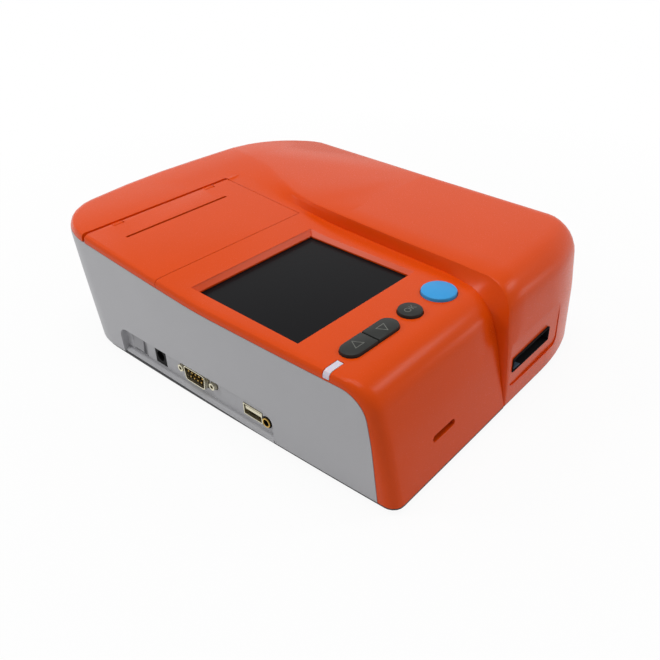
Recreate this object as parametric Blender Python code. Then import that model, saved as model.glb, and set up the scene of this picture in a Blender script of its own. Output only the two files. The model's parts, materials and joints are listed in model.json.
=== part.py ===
"""Desktop progesterone analyzer: an immunoassay cartridge reader with a built-in printer.

The frame is metres, +X right, +Y back and +Z up, with the origin under the middle of the
case on the surface it stands on. The front face is at -Y.
"""

from math import asin, atan2, ceil, cos, pi, radians, sin, sqrt, tan

import bmesh
import bpy
from mathutils import Matrix, Vector

MM = 0.001

# Case outline
case_width = 180 * MM
case_depth = 246 * MM
rear_height = 75 * MM

# The places below are drawn for a case of this size, and stretch with it across and back
drawn_width = 180 * MM
drawn_depth = 246 * MM
ACROSS = MM * case_width / drawn_width
BACK = MM * case_depth / drawn_depth

# Walls, feet and outline
wall = 2.5 * MM
foot_height = 1.2 * MM
foot_diameter = 12 * MM
seat_gap = 0.3 * MM
plate_thickness = 1.6 * MM
plate_setback = 0.9 * MM
side_draft = 1.6 * MM
side_bow = 4.0 * MM
rear_lean = 7.0 * MM
front_slant = 5.3 * MM
front_sweep = 8.3 * MM
front_sweep_length = 44 * ACROSS
rear_crown = 14 * BACK
rear_crown_offset = 12 * ACROSS
front_left_radius = 6 * MM
front_right_radius = 9 * MM
rear_left_corner = (26 * ACROSS, 30 * BACK)
rear_right_corner = (44 * ACROSS, 41 * BACK)
left_edge_roll = 2.4 * MM
right_edge_roll = 4.5 * MM

# Case side profiles, as distances back from the front and heights above the ground
left_knee_back = 5 * MM
right_knee_back = 0.5 * MM
knee_height = 34 * MM
knee_radius = 110 * MM
brow_radius = 16 * MM
left_brow_back = 12 * MM
left_brow_height = 61.3 * MM
right_brow_back = 3.5 * MM
right_brow_height = 67.8 * MM
bend_back = 115 * BACK
left_bend_height = 63.2 * MM
right_bend_height = 70.6 * MM
bend_radius = 260 * MM
rear_radius = 6.5 * MM

# Step between the low left block and the high right block, along the profile from the front
step_foot_places = ((0, 4.3 * ACROSS), (33 * MM, 2.6 * ACROSS), (52 * MM, 2.8 * ACROSS),
                    (62 * MM, 1.0 * ACROSS), (72 * MM, -0.7 * ACROSS), (80 * MM, 1.2 * ACROSS), (90 * MM, 5.2 * ACROSS),
                    (100 * MM, 8.0 * ACROSS), (132 * MM, 9.8 * ACROSS), (173 * MM, 12.2 * ACROSS),
                    (340 * MM, 13.0 * ACROSS))
step_ridge_places = ((0, 5.0 * ACROSS), (26 * MM, 3.8 * ACROSS), (46 * MM, 3.8 * ACROSS),
                     (56 * MM, 4.2 * ACROSS), (65 * MM, 5.8 * ACROSS), (70 * MM, 6.6 * ACROSS), (80 * MM, 8.0 * ACROSS),
                     (90 * MM, 9.6 * ACROSS), (103 * MM, 10.0 * ACROSS), (140 * MM, 11.2 * ACROSS),
                     (180 * MM, 13.2 * ACROSS), (213 * MM, 14.8 * ACROSS), (234 * MM, 20 * ACROSS),
                     (262 * MM, 33 * ACROSS), (340 * MM, 46 * ACROSS))
groove_depths = ((0, 0.3 * MM), (30 * MM, 0.6 * MM), (66 * MM, 0.6 * MM), (90 * MM, 0.2 * MM),
                 (98 * MM, 0), (340 * MM, 0))
ridge_round = 1.6 * MM
merge_start_back = 128 * BACK
rear_line_reach = 90 * BACK
merge_end_back = 186 * BACK

# Seam between the orange cover and the grey housing
seam_gap = 0.3 * MM
band_height = 4.2 * MM
seam_front_left = 7.5 * MM
seam_front_right = 27 * MM
seam_radius = 17 * MM

# Screen
screen_left = 9.5 * ACROSS
screen_front = 56.1 * BACK
screen_width = 80.3 * ACROSS
screen_depth = 69.8 * BACK
screen_recess = 2.0 * MM
screen_lip = 0.8 * MM
screen_clearance = 0.3 * MM
screen_slope_run = 1.8 * MM
screen_frame = 2.2 * MM
glass_thickness = 1.5 * MM
glass_lap = 1.8 * MM
lcd_thickness = 3.2 * MM

# Keys, as places across the case and back from the front
key_row_back = 35.6 * BACK
start_key_x = -8.6 * ACROSS
start_key_diameter = 17 * MM
ok_key_x = -30.4 * ACROSS
ok_key_diameter = 11.6 * MM
arrow_keys_x = -58.0 * ACROSS
arrow_keys_length = 34 * ACROSS
arrow_keys_width = 10 * MM
arrow_split = 0.6 * MM
key_rise = 1.6 * MM
key_clearance = 0.35 * MM
key_flange = 1.4 * MM
key_flange_thickness = 1.2 * MM
key_travel = 0.8 * MM
key_stem_diameter = 4 * MM
key_stem_length = 5 * MM
light_pipe_back = 34 * BACK
light_pipe_reach = 11.6 * ACROSS
light_pipe_width = 3.2 * MM
light_pipe_wrap = 3.4 * MM
light_pipe_leg = 4.4 * MM
light_pipe_leg_length = 8 * MM
keypad_board_width = 12 * MM
switch_body = 6 * MM
switch_height = 3.4 * MM
circuit_thickness = 1.6 * MM

# Printer door, its hinge and the bay under it
door_front = 143.4 * BACK
door_hinge_back = 203.4 * BACK
door_right = 8.6 * ACROSS
door_gap = 0.35 * MM
door_bead = 2.0 * MM
door_open_share = 80 / 90
hinge_pin_diameter = 1.6 * MM
hinge_bore_clearance = 0.3 * MM
hinge_lug_width = 6 * MM
hinge_lug_shares = (0.16, 0.84)
hinge_end_inset = 6 * MM
slit_length = 68 * ACROSS
slit_width = 1.5 * MM
slit_centre_x = -40.7 * ACROSS
slit_back = 187.0 * BACK

# Paper bay and print mechanism
bay_width = 68 * ACROSS
bay_radius = 15.5 * BACK
bay_wall = 2.0 * MM
bay_cheek = 2.4 * MM
bay_top_clearance = 1.0 * MM
bay_bottom_height = 27 * MM
bay_leg_diameter = 5 * MM
bay_leg_inset = 3.4 * MM
roller_to_bay = 2 * MM
roller_diameter = 8 * MM
roller_length = 60 * ACROSS
roller_shaft = 3 * MM
roller_drop = 11.5 * MM
head_height = 10 * MM
head_length = 58 * ACROSS
gear_width = 2.6 * MM
gear_pitch_radius = 7.5 * MM
pinion_pitch_radius = 3.5 * MM
gear_teeth = 30
pinion_teeth = 14
gear_backlash = 0.3 * MM
motor_radius = 6 * MM
motor_length = 19 * MM
motor_shaft = 1.5 * MM
shaft_clearance = 0.3 * MM

# Cartridge slot, its shallow panel and the chip slot
slot_left = 9.6 * ACROSS
slot_width = 36.6 * ACROSS
slot_low = 20.5 * MM
slot_height = 7.8 * MM
slot_panel_left = 7.0 * ACROSS
slot_panel_width = 51 * ACROSS
slot_panel_low = 12.5 * MM
slot_panel_height = 25.5 * MM
slot_panel_depth = 0.6 * MM
chip_slot_x = -45.8 * ACROSS
chip_slot_length = 17 * ACROSS
chip_slot_height = 3.2 * MM
chip_slot_level = 20.5 * MM
chip_body_depth = 20 * MM

# Cartridge drive
tray_width = 32 * ACROSS
tray_thickness = 4.2 * MM
tray_length = 92 * BACK
tray_level = 21.4 * MM
tray_travel = 48 * BACK
tray_pocket_width = 21 * ACROSS
tray_pocket_length = 72 * BACK
tray_pocket_depth = 2.2 * MM
tray_setback = 8.5 * MM
crossbar_length = 12 * MM
crossbar_height = 7.4 * MM
crossbar_margin = 3.1 * MM
guide_rod_diameter = 3 * MM
guide_rod_left = 8.0 * ACROSS
guide_rod_right = 57.8 * ACROSS
drive_screw_diameter = 5 * MM
drive_screw_x = 50.6 * ACROSS
drive_screw_lead = 3 * MM
drive_motor_size = 20 * MM
drive_motor_length = 22 * MM
reader_left = 1.0 * ACROSS
reader_right = 65 * ACROSS
reader_floor_level = 14.4 * MM
reader_floor_thickness = 1.8 * MM
reader_plate_thickness = 3.4 * MM
reader_front = 21 * BACK
reader_back = 152 * BACK
reader_plate_top = 32 * MM
optics_front = 46 * BACK
optics_length = 40 * BACK
optics_width = 30 * ACROSS
optics_height = 20 * MM
optics_flange = 2.6 * MM
optics_flange_level = 35 * MM
lens_barrel_diameter = 9 * MM
lens_barrel_length = 5.6 * MM

# Connector recess in the left side, with places back from the front
recess_front = 70.0 * BACK
recess_back = 190.0 * BACK
recess_top = 20.4 * MM
recess_corner = 7 * MM
recess_panel_inset = 5.0 * MM
socket_pad_thickness = 2.6 * MM
board_level = 6.4 * MM
board_width = 74 * ACROSS
board_front = 68 * BACK
board_length = 76 * BACK
board_setback = 7.9 * MM
socket_gap = 0.3 * MM
serial_back = 126.5 * BACK
serial_length = 17 * MM
serial_height = 8.4 * MM
serial_flange_length = 31 * MM
serial_flange_height = 12.4 * MM
serial_flange_thickness = 1.2 * MM
serial_shell_length = 5.6 * MM
serial_body_depth = 10 * MM
serial_pin_diameter = 1.0 * MM
jackscrew_spacing = 25 * MM
jackscrew_diameter = 4.4 * MM
jackscrew_length = 4.6 * MM
usb_back = 86 * BACK
usb_width = 13.2 * MM
usb_height = 6.6 * MM
usb_depth = 14 * MM
socket_metal = 0.5 * MM
usb_to_audio = 9.8 * MM
audio_back = usb_back - usb_to_audio
audio_size = 6 * MM
audio_bore = 3.6 * MM
power_jack_back = 159 * BACK
power_jack_width = 9 * MM
power_jack_height = 10.4 * MM
power_jack_depth = 13 * MM
power_jack_bore = 6.2 * MM
rocker_back = 178 * BACK
rocker_width = 10 * MM
rocker_height = 11 * MM
rocker_depth = 10 * MM
rocker_rim = 1.0 * MM
rocker_axis_share = 0.55
rocker_face_share = 0.72
rocker_back_share = 0.6
rocker_tilt_share = 8 / 90

# Fasteners and feet
boss_diameter = 8 * MM
boss_bore = 3.6 * MM
case_screw_diameter = 3.0 * MM
case_screw_length = 12 * MM
case_screw_head = 5.6 * MM
case_screw_head_height = 0.7 * MM
boss_inset_x = 12.5 * MM
boss_front = 25 * MM
boss_rear = 40 * MM
foot_inset_x = 24 * MM
foot_inset_y = 30 * MM
post_diameter = 4 * MM
board_post_diameter = 5 * MM
post_inset = 4 * MM
cut_over = 5 * MM

# Values that follow from the sizes above
half_width = case_width / 2
half_depth = case_depth / 2
front_y = -half_depth
plate_low = foot_height + seat_gap
plate_top = plate_low + plate_thickness
case_floor = plate_top + seat_gap
step_reference_x = 8.0 * ACROSS
SIDES = 32


def clear_scene():
    for item in list(bpy.data.objects):
        bpy.data.objects.remove(item, do_unlink=True)


def collection(name):
    found = bpy.data.collections.new(name)
    bpy.context.scene.collection.children.link(found)
    return found


def material(name, colour, roughness, metallic=0.0):
    made = bpy.data.materials.new(name)
    made.use_nodes = True
    shader = made.node_tree.nodes["Principled BSDF"]
    shader.inputs["Base Color"].default_value = (*colour, 1.0)
    shader.inputs["Roughness"].default_value = roughness
    shader.inputs["Metallic"].default_value = metallic
    made.diffuse_color = (*colour, 1.0)
    return made


def finish_mesh(name, bm, home, finish=None, origin=None):
    """Turn a bmesh into an object of the given collection, with its origin where it turns or sits."""
    bmesh.ops.recalc_face_normals(bm, faces=bm.faces)
    mesh = bpy.data.meshes.new(name)
    if origin is not None:
        bmesh.ops.translate(bm, vec=-origin, verts=bm.verts)
    bm.to_mesh(mesh)
    bm.free()
    item = bpy.data.objects.new(name, mesh)
    if origin is not None:
        item.location = origin
    home.objects.link(item)
    if finish is not None:
        mesh.materials.append(finish)
    mesh.shade_smooth()
    mesh.set_sharp_from_angle(angle=radians(35))
    return item


def box_mesh(low, high):
    bm = bmesh.new()
    size = high - low
    centre = (low + high) / 2
    bmesh.ops.create_cube(bm, size=1.0)
    bmesh.ops.scale(bm, vec=size, verts=bm.verts)
    bmesh.ops.translate(bm, vec=centre, verts=bm.verts)
    return bm


def cylinder_mesh(radius, start, end, sides=SIDES, end_radius=None):
    bm = bmesh.new()
    axis = end - start
    tip = radius if end_radius is None else end_radius
    bmesh.ops.create_cone(bm, cap_ends=True, segments=sides, radius1=radius, radius2=tip,
                          depth=axis.length)
    turn = axis.to_track_quat("Z", "Y").to_matrix().to_4x4()
    bmesh.ops.transform(bm, matrix=Matrix.Translation((start + end) / 2) @ turn, verts=bm.verts)
    return bm


def prism_mesh(points, direction):
    """Extrude a flat closed outline by a vector."""
    bm = bmesh.new()
    face = bm.faces.new([bm.verts.new(point) for point in points])
    grown = bmesh.ops.extrude_face_region(bm, geom=[face])
    moved = [part for part in grown["geom"] if isinstance(part, bmesh.types.BMVert)]
    bmesh.ops.translate(bm, vec=direction, verts=moved)
    return bm


def join_mesh(*parts):
    bm = bmesh.new()
    for part in parts:
        holder = bpy.data.meshes.new("holder")
        part.to_mesh(holder)
        part.free()
        bm.from_mesh(holder)
        bpy.data.meshes.remove(holder)
    return bm


def obround_points(centre, length, width, along, across, steps=8):
    """Outline of a slot with round ends, in the plane of the two unit vectors."""
    radius = width / 2
    reach = length / 2 - radius
    points = []
    for side, start in ((1, -pi / 2), (-1, pi / 2)):
        for step in range(steps + 1):
            angle = start + pi * step / steps
            points.append(centre + along * (side * reach + radius * cos(angle))
                          + across * (radius * sin(angle)))
    return points


def rounded_points(centre, length, width, radius, along, across, steps=5):
    """Outline of a rectangle with round corners, in the plane of the two unit vectors."""
    points = []
    corners = ((1, 1), (-1, 1), (-1, -1), (1, -1))
    for quarter, (side_a, side_b) in enumerate(corners):
        for step in range(steps + 1):
            angle = pi / 2 * (quarter + step / steps)
            points.append(centre + along * (side_a * (length / 2 - radius) + radius * cos(angle))
                          + across * (side_b * (width / 2 - radius) + radius * sin(angle)))
    return points


class Shop:
    """Holds the collections and finishes, and makes nodes and cuts."""

    def __init__(self):
        self.parts = collection("progesterone_analyzer")
        self.guides = collection("cutters")
        self.count = 0

    def node(self, name, bm, finish, origin=None):
        return finish_mesh(name, bm, self.parts, finish, origin)

    def guide(self, name, bm):
        self.count += 1
        item = finish_mesh(f"guide_{name}_{self.count}", bm, self.guides)
        item.hide_render = True
        item.display_type = "WIRE"
        return item

    def combine(self, target, operation, other, label="form"):
        if isinstance(other, bmesh.types.BMesh):
            other = self.guide(label, other)
        step = target.modifiers.new(f"{operation.lower()}_{len(target.modifiers)}", "BOOLEAN")
        step.operation = operation
        step.solver = "EXACT"
        step.object = other
        return other

    def cut(self, target, other, label="cut"):
        return self.combine(target, "DIFFERENCE", other, label)

    def add(self, target, other, label="add"):
        return self.combine(target, "UNION", other, label)

    def keep(self, target, other, label="keep"):
        return self.combine(target, "INTERSECT", other, label)


def between(places, where):
    """Read a table of (place, value) pairs, straight between its rows."""
    if where <= places[0][0]:
        return places[0][1]
    for (low, first), (high, second) in zip(places, places[1:]):
        if where <= high:
            return first + (second - first) * (where - low) / (high - low)
    return places[-1][1]


def smooth_share(share):
    held = max(0.0, min(1.0, share))
    return held * held * (3 - 2 * held)


def edge_fall(distance, reach, depth):
    """How far an elliptic edge has fallen at a distance in from the side."""
    if distance >= reach:
        return 0.0
    share = 1 - max(0.0, distance) / reach
    return depth * (1 - sqrt(max(0.0, 1 - share * share)))


def filleted(corners):
    """Round the inner corners of an open outline: each is (y, z, radius, steps, straight steps)."""
    points = [Vector((corners[0][0], corners[0][1]))]
    for index in range(1, len(corners) - 1):
        here = Vector(corners[index][:2])
        before = Vector(corners[index - 1][:2]) - here
        after = Vector(corners[index + 1][:2]) - here
        angle = before.angle(after)
        radius, steps, straight = corners[index][2:]
        reach = radius / tan(angle / 2)
        reach = min(reach, before.length * 0.48, after.length * 0.48)
        radius = reach * tan(angle / 2)
        start = here + before.normalized() * reach
        stop = here + after.normalized() * reach
        centre = here + (before.normalized() + after.normalized()).normalized() * radius / sin(angle / 2)
        last = points[-1]
        for step in range(1, straight + 1):
            points.append(last.lerp(start, step / (straight + 1)))
        first = atan2(start.y - centre.y, start.x - centre.x)
        final = atan2(stop.y - centre.y, stop.x - centre.x)
        turn = (final - first + pi) % (2 * pi) - pi
        for step in range(steps + 1):
            spin = first + turn * step / steps
            points.append(centre + Vector((cos(spin), sin(spin))) * radius)
    end = Vector((corners[-1][0], corners[-1][1]))
    last = points[-1]
    straight = corners[-1][4]
    for step in range(1, straight + 1):
        points.append(last.lerp(end, step / (straight + 1)))
    points.append(end)
    return points


def front_line(x, inset):
    """Front edge of the case at x: a slight slant, a swept right end and two round corners."""
    share = (x + half_width) / case_width
    sweep = max(0.0, (x - (half_width - front_sweep_length)) / front_sweep_length)
    return (front_y + inset + front_slant * share + front_sweep * sweep * sweep
            + edge_fall(x + half_width - inset, front_left_radius, front_left_radius)
            + edge_fall(half_width - inset - x, front_right_radius, front_right_radius))


def rear_line(x, inset):
    """Rear edge of the case at x: bowed, with two elliptic corners."""
    share = (x + rear_crown_offset) / (half_width + rear_crown_offset)
    return (half_depth - inset - rear_crown * share * share
            - edge_fall(x + half_width - inset, *rear_left_corner)
            - edge_fall(half_width - inset - x, *rear_right_corner))


def side_fall(x, inset):
    """How far the top has rolled down at x, near either side."""
    left = max(left_edge_roll - inset, wall / 10)
    right = right_edge_roll - inset
    return (edge_fall(x + half_width - inset, left, left)
            + edge_fall(half_width - inset - x, right, right))


def block_section(x, inset, floor, knee_back, brow_back, brow_height, bend_height, fine):
    """Side profile of one block at x, from the front foot over the top to the rear foot."""
    front = front_line(x, inset)
    rear = rear_line(x, inset)
    fall = side_fall(x, inset) + inset
    bend_y = front_y + bend_back
    slope = (rear_height - bend_height) / (half_depth - bend_y)
    rear_z = bend_height + (rear - bend_y) * slope - fall
    lean = rear_lean * (rear_z - case_floor) / (rear_height - case_floor)
    low = (knee_back / (knee_height - case_floor)) * (case_floor - floor)
    corners = [(front - low, floor, 0, 0, 0),
               (front + knee_back, knee_height, knee_radius, 3 if fine else 1, 2),
               (front + brow_back, brow_height - fall, brow_radius - inset, 7 if fine else 4, 1),
               (bend_y, bend_height - fall, bend_radius, 3 if fine else 1, 4),
               (rear, rear_z, rear_radius - inset, 4 if fine else 2, 5),
               (rear - lean, floor, 0, 0, 2)]
    return filleted(corners)


def left_section(x, inset, floor, fine):
    return block_section(x, inset, floor, left_knee_back, left_brow_back, left_brow_height,
                         left_bend_height, fine)


def right_section(x, inset, floor, fine):
    return block_section(x, inset, floor, right_knee_back, right_brow_back, right_brow_height,
                         right_bend_height, fine)


def travel_along(point, front):
    """Distance along a profile from the front foot, good enough to place the step by."""
    return point.y + point.x - front


def merge_at(point):
    """0 where the two blocks are apart, 1 where they have become one surface."""
    back = point.x - front_y
    return smooth_share((back - merge_start_back) / (merge_end_back - merge_start_back))


def side_shift(x, y):
    """Bow of the left side: its front end stands in from the widest place."""
    middle = half_depth * 0.46
    share = min(0.0, (y - middle) / (half_depth + middle))
    weight = max(0.0, (half_width - (x + half_width)) / half_width)
    return side_bow * share * share * weight


def blend_points(first, second, share):
    return [a.lerp(b, share) for a, b in zip(first, second)]


def step_columns(inset, floor, fine):
    """The columns of the step: foot, valley, wall and rounded ridge, as lists of 3D points."""
    foot_base = left_section(step_reference_x, inset, floor, fine)
    crest_base = right_section(step_reference_x, inset, floor, fine)
    front = front_line(step_reference_x, inset)
    foot, valley, wall_top, crown, crest = [], [], [], [], []
    for low, high in zip(foot_base, crest_base):
        along = travel_along(low, front)
        merged = merge_at(low)
        foot_x = between(step_foot_places, along) + inset
        ridge_x = between(step_ridge_places, travel_along(high, front)) + inset
        depth = between(groove_depths, along)
        drop = (high - low) if (high - low).length > wall / 10 else Vector((0, 0))
        inward = Vector((1.0, -0.55)).normalized() * depth
        rise = low.lerp(high, 0.25)
        valley_x = foot_x + (ridge_x - foot_x) * 0.45
        foot.append(Vector((foot_x, low.x, low.y)))
        sink = low.lerp(rise, merged) + inward
        valley.append(Vector((valley_x, sink.x, sink.y)))
        upper = low + drop * (0.62 + 0.1 * merged) + inward * 0.25
        wall_top.append(Vector((ridge_x - ridge_round * 0.15 - (ridge_x - valley_x) * 0.3 * merged,
                                upper.x, upper.y)))
        near = low + drop * 0.92
        crown.append(Vector((ridge_x + ridge_round * 0.3, near.x, near.y)))
        crest.append(Vector((ridge_x + ridge_round * 1.3, high.x, high.y)))
    columns = [foot, valley, wall_top, crown, crest]
    for column in columns:
        for point in column:
            share = smooth_share((point.y - front_y - merge_start_back) / rear_line_reach)
            point.y += (rear_line(point.x, inset) - rear_line(step_reference_x, inset)) * share
    return columns


def body_columns(inset, floor, fine):
    """All columns of the case form, from the left side to the right side."""
    left_side = -half_width + inset
    right_side = half_width - inset
    if fine:
        left_steps = (0, 0.10, 0.42, 1.0, 1.75, 2.7, 4.2, 6.3, 8.8, 11.2, 22.0)
        right_steps = (44.0, 36.0, 28.0, 21.0, 15.5, 11.0, 7.6, 5.0, 3.0, 1.4, 0.4, 0)
        left_unit = left_edge_roll
        right_unit = MM
    else:
        left_steps = (0, 1.2, 3.6, 7.5, 11.2)
        right_steps = (34.0, 20.0, 11.0, 5.0, 1.6, 0)
        left_unit = left_edge_roll
        right_unit = MM
    columns = []
    for step in left_steps:
        x = left_side + step * left_unit
        columns.append([Vector((x, p.x, p.y)) for p in left_section(x, inset, floor, fine)])
    seam = step_columns(inset, floor, fine)
    outer = columns[-1]
    if fine:
        columns.append([a.lerp(b, 0.5) for a, b in zip(outer, seam[0])])
        for index, point in enumerate(columns[-1]):
            flat = left_section(point.x, inset, floor, fine)[index]
            columns[-1][index] = Vector((point.x, flat.x, flat.y))
    columns.extend(seam)
    if fine:
        right = right_side - right_steps[0] * right_unit
        for share in (1 / 3, 2 / 3):
            middle = []
            for index, point in enumerate(seam[-1]):
                x = point.x + (right - point.x) * share
                flat = right_section(x, inset, floor, fine)[index]
                middle.append(Vector((x, flat.x, flat.y)))
            columns.append(middle)
    for step in right_steps:
        x = right_side - step * right_unit
        columns.append([Vector((x, p.x, p.y)) for p in right_section(x, inset, floor, fine)])
    return columns


def side_foot(column, floor):
    """Points of a side column that stand over its own foot line, with the foot under each."""
    start, end = column[0], column[-1]
    margin = wall / 4
    return [(index, Vector((start.x, point.y, floor))) for index, point in enumerate(column)
            if start.y + margin < point.y < end.y - margin]


def draft_shift(x, z):
    """Inward draft of the case, full at the ground and none above the band."""
    share = 1 - z / (left_brow_height - band_height)
    return -x / half_width * side_draft * max(0.0, share)


def body_form(inset, floor, fine):
    """The closed form of the case: a loft of side profiles across its width."""
    columns = body_columns(inset, floor, fine)
    bm = bmesh.new()
    grid = [[bm.verts.new(point) for point in column] for column in columns]
    for near, far in zip(grid, grid[1:]):
        for low in range(len(near) - 1):
            bm.faces.new((near[low], near[low + 1], far[low + 1], far[low]))
    feet = []
    for column in (0, -1):
        foot = [(index, bm.verts.new(point)) for index, point in side_foot(columns[column], floor)]
        rim = grid[column]
        bm.faces.new((*rim[:foot[0][0] + 1], foot[0][1]))
        for (index, vert), (other, beside) in zip(foot, foot[1:]):
            bm.faces.new((rim[index], *rim[index + 1:other + 1], beside, vert))
        bm.faces.new((foot[-1][1], *rim[foot[-1][0]:]))
        feet.append([vert for index, vert in foot])
    outline = [column[0] for column in grid]
    outline += feet[1]
    outline += [column[-1] for column in reversed(grid)]
    outline += list(reversed(feet[0]))
    bm.faces.new(outline)
    for vert in bm.verts:
        vert.co.x += side_shift(vert.co.x, vert.co.y) + draft_shift(vert.co.x, vert.co.z)
    bmesh.ops.triangulate(bm, faces=[face for face in bm.faces if len(face.verts) > 4])
    bmesh.ops.recalc_face_normals(bm, faces=bm.faces)
    return bm


def seam_section(x, front_inset, shrink):
    """Side profile of the volume that belongs to the housing, below and behind the seam."""
    front = front_line(-half_width + wall * 4, 0)
    fall = band_height + shrink
    bend_y = front_y + bend_back
    slope = (rear_height - left_bend_height) / (half_depth - bend_y)
    past = half_depth + cut_over
    start = front + front_inset + shrink
    return filleted([(start, -cut_over, 0, 0, 0),
                     (start + left_knee_back * 0.6, knee_height, knee_radius, 2, 0),
                     (start + left_brow_back * 0.55, left_brow_height - fall, seam_radius, 6, 0),
                     (bend_y, left_bend_height - fall, bend_radius, 3, 3),
                     (past, left_bend_height + slope * (past - bend_y) - fall, 0, 0, 3)])


def seam_form(shrink):
    """Loft between the seam profiles of the two sides, which start at unlike distances."""
    bm = bmesh.new()
    loops = []
    for x, inset in ((-half_width - cut_over, seam_front_left), (half_width + cut_over, seam_front_right)):
        points = seam_section(x, inset, shrink)
        loop = [Vector((x, p.x, p.y)) for p in points]
        loop.append(Vector((x, half_depth + cut_over, -cut_over)))
        loops.append([bm.verts.new(point) for point in loop])
    count = len(loops[0])
    for index in range(count):
        after = (index + 1) % count
        bm.faces.new((loops[0][index], loops[0][after], loops[1][after], loops[1][index]))
    for loop in loops:
        bm.faces.new(loop)
    bmesh.ops.triangulate(bm, faces=[face for face in bm.faces if len(face.verts) > 4])
    bmesh.ops.recalc_face_normals(bm, faces=bm.faces)
    return bm


def deck_height(back):
    """Height of the left block's top at a distance back from the front."""
    if back < bend_back:
        share = (back - left_brow_back) / (bend_back - left_brow_back)
        return left_brow_height + (left_bend_height - left_brow_height) * share
    share = (back - bend_back) / (case_depth - bend_back)
    return left_bend_height + (rear_height - left_bend_height) * share


def deck_slope(back):
    if back < bend_back:
        return (left_bend_height - left_brow_height) / (bend_back - left_brow_back)
    return (rear_height - left_bend_height) / (case_depth - bend_back)


def deck_frame(x, back):
    """Point on the left deck with its unit vectors: across, along and out."""
    slope = deck_slope(back)
    along = Vector((0, 1, slope)).normalized()
    out = Vector((0, -slope, 1)).normalized()
    return Vector((x, front_y + back, deck_height(back))), Vector((1, 0, 0)), along, out


def front_face_y(x, z):
    """Front face of the case at a place across and a height, below the brow."""
    share = (z - case_floor) / (knee_height - case_floor)
    back = left_knee_back if x < step_reference_x else right_knee_back
    return front_line(x, 0) + back * share



def crest_height(back):
    """Height of the right block's top at a distance back from the front."""
    if back < bend_back:
        share = (back - right_brow_back) / (bend_back - right_brow_back)
        return right_brow_height + (right_bend_height - right_brow_height) * share
    share = (back - bend_back) / (case_depth - bend_back)
    return right_bend_height + (rear_height - right_bend_height) * share


def place_in(bm, frame):
    """Move a mesh made in a deck frame (across, along, out) to its place."""
    point, across, along, out = frame
    matrix = Matrix((across, along, out)).transposed().to_4x4()
    matrix.translation = point
    bmesh.ops.transform(bm, matrix=matrix, verts=bm.verts)
    return bm


def block(left, right, front, back, low, high):
    return box_mesh(Vector((left, front, low)), Vector((right, back, high)))


def upright(radius, x, y, low, high, sides=SIDES):
    return cylinder_mesh(radius, Vector((x, y, low)), Vector((x, y, high)), sides)


def floor_outline(inset, floor):
    """Outline of the case at a level near the ground."""
    columns = body_columns(inset, floor, True)
    points = [column[0] for column in columns]
    points += [point for index, point in side_foot(columns[-1], floor)]
    points += [column[-1] for column in reversed(columns)]
    points += [point for index, point in reversed(side_foot(columns[0], floor))]
    return unique([Vector((p.x + side_shift(p.x, p.y) + draft_shift(p.x, floor), p.y, floor))
                   for p in points])


def boss_places():
    return ((-half_width + boss_inset_x, front_y + boss_front, deck_height(boss_front)),
            (half_width - boss_inset_x, front_y + boss_front + wall, crest_height(boss_front)),
            (-half_width + boss_inset_x, half_depth - boss_rear, deck_height(case_depth - boss_rear)),
            (half_width - boss_inset_x - 2 * wall, half_depth - boss_rear,
             crest_height(case_depth - boss_rear)))


def hinge_axis():
    """Place of the printer door's hinge line across the case: y and z."""
    y = front_y + door_hinge_back
    return y, deck_height(door_hinge_back) - door_bead


def hinge_lug_places():
    left = -half_width + hinge_end_inset
    return [left + (door_right - left) * share for share in hinge_lug_shares]


def screen_rim():
    left = -half_width + screen_left
    return deck_frame(left + screen_width / 2, screen_front + screen_depth / 2)


def window_size():
    return screen_width - 2 * screen_slope_run, screen_depth - 2 * screen_slope_run


def stepped_block(levels):
    """Closed loft through rectangles, each given as its height and its two half sizes."""
    bm = bmesh.new()
    rings = []
    for height, half_x, half_y in levels:
        corners = ((-half_x, -half_y), (half_x, -half_y), (half_x, half_y), (-half_x, half_y))
        rings.append([bm.verts.new((x, y, height)) for x, y in corners])
    bm.faces.new(rings[0])
    for low, high in zip(rings, rings[1:]):
        for index in range(4):
            after = (index + 1) % 4
            bm.faces.new((low[index], low[after], high[after], high[index]))
    bm.faces.new(rings[-1])
    bmesh.ops.recalc_face_normals(bm, faces=bm.faces)
    return bm


def screen_cutter():
    """Sloped rim of the screen, its lip, and the pocket that takes the glass from below."""
    wide, deep = window_size()
    over = screen_slope_run * (1 + screen_lip / screen_recess)
    reach = glass_lap + screen_clearance
    ledge = -screen_recess - screen_lip
    levels = ((ledge - glass_thickness - cut_over, wide / 2 + reach, deep / 2 + reach),
              (ledge, wide / 2 + reach, deep / 2 + reach),
              (ledge, wide / 2, deep / 2),
              (-screen_recess, wide / 2, deep / 2),
              (screen_lip, wide / 2 + over, deep / 2 + over))
    return [place_in(stepped_block(levels), screen_rim())]


def screen_tub():
    wide, deep = window_size()
    reach = glass_lap + screen_frame
    low = -screen_recess - screen_lip - glass_thickness - screen_clearance
    return place_in(block(-wide / 2 - reach, wide / 2 + reach, -deep / 2 - reach, deep / 2 + reach,
                          low, -wall / 4), screen_rim())


def key_frame(x):
    return deck_frame(x, key_row_back)


def key_outlines():
    """The four keys: name, middle across, length across and width along the deck."""
    half = (arrow_keys_length - arrow_split) / 2
    offset = (half + arrow_split) / 2
    return (("start_button", start_key_x, start_key_diameter, start_key_diameter),
            ("ok_button", ok_key_x, ok_key_diameter, ok_key_diameter),
            ("up_button", arrow_keys_x - offset, half, arrow_keys_width),
            ("down_button", arrow_keys_x + offset, half, arrow_keys_width))


def local_prism(points, low, high):
    return prism_mesh([Vector((p.x, p.y, low)) for p in points], Vector((0, 0, high - low)))


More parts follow.
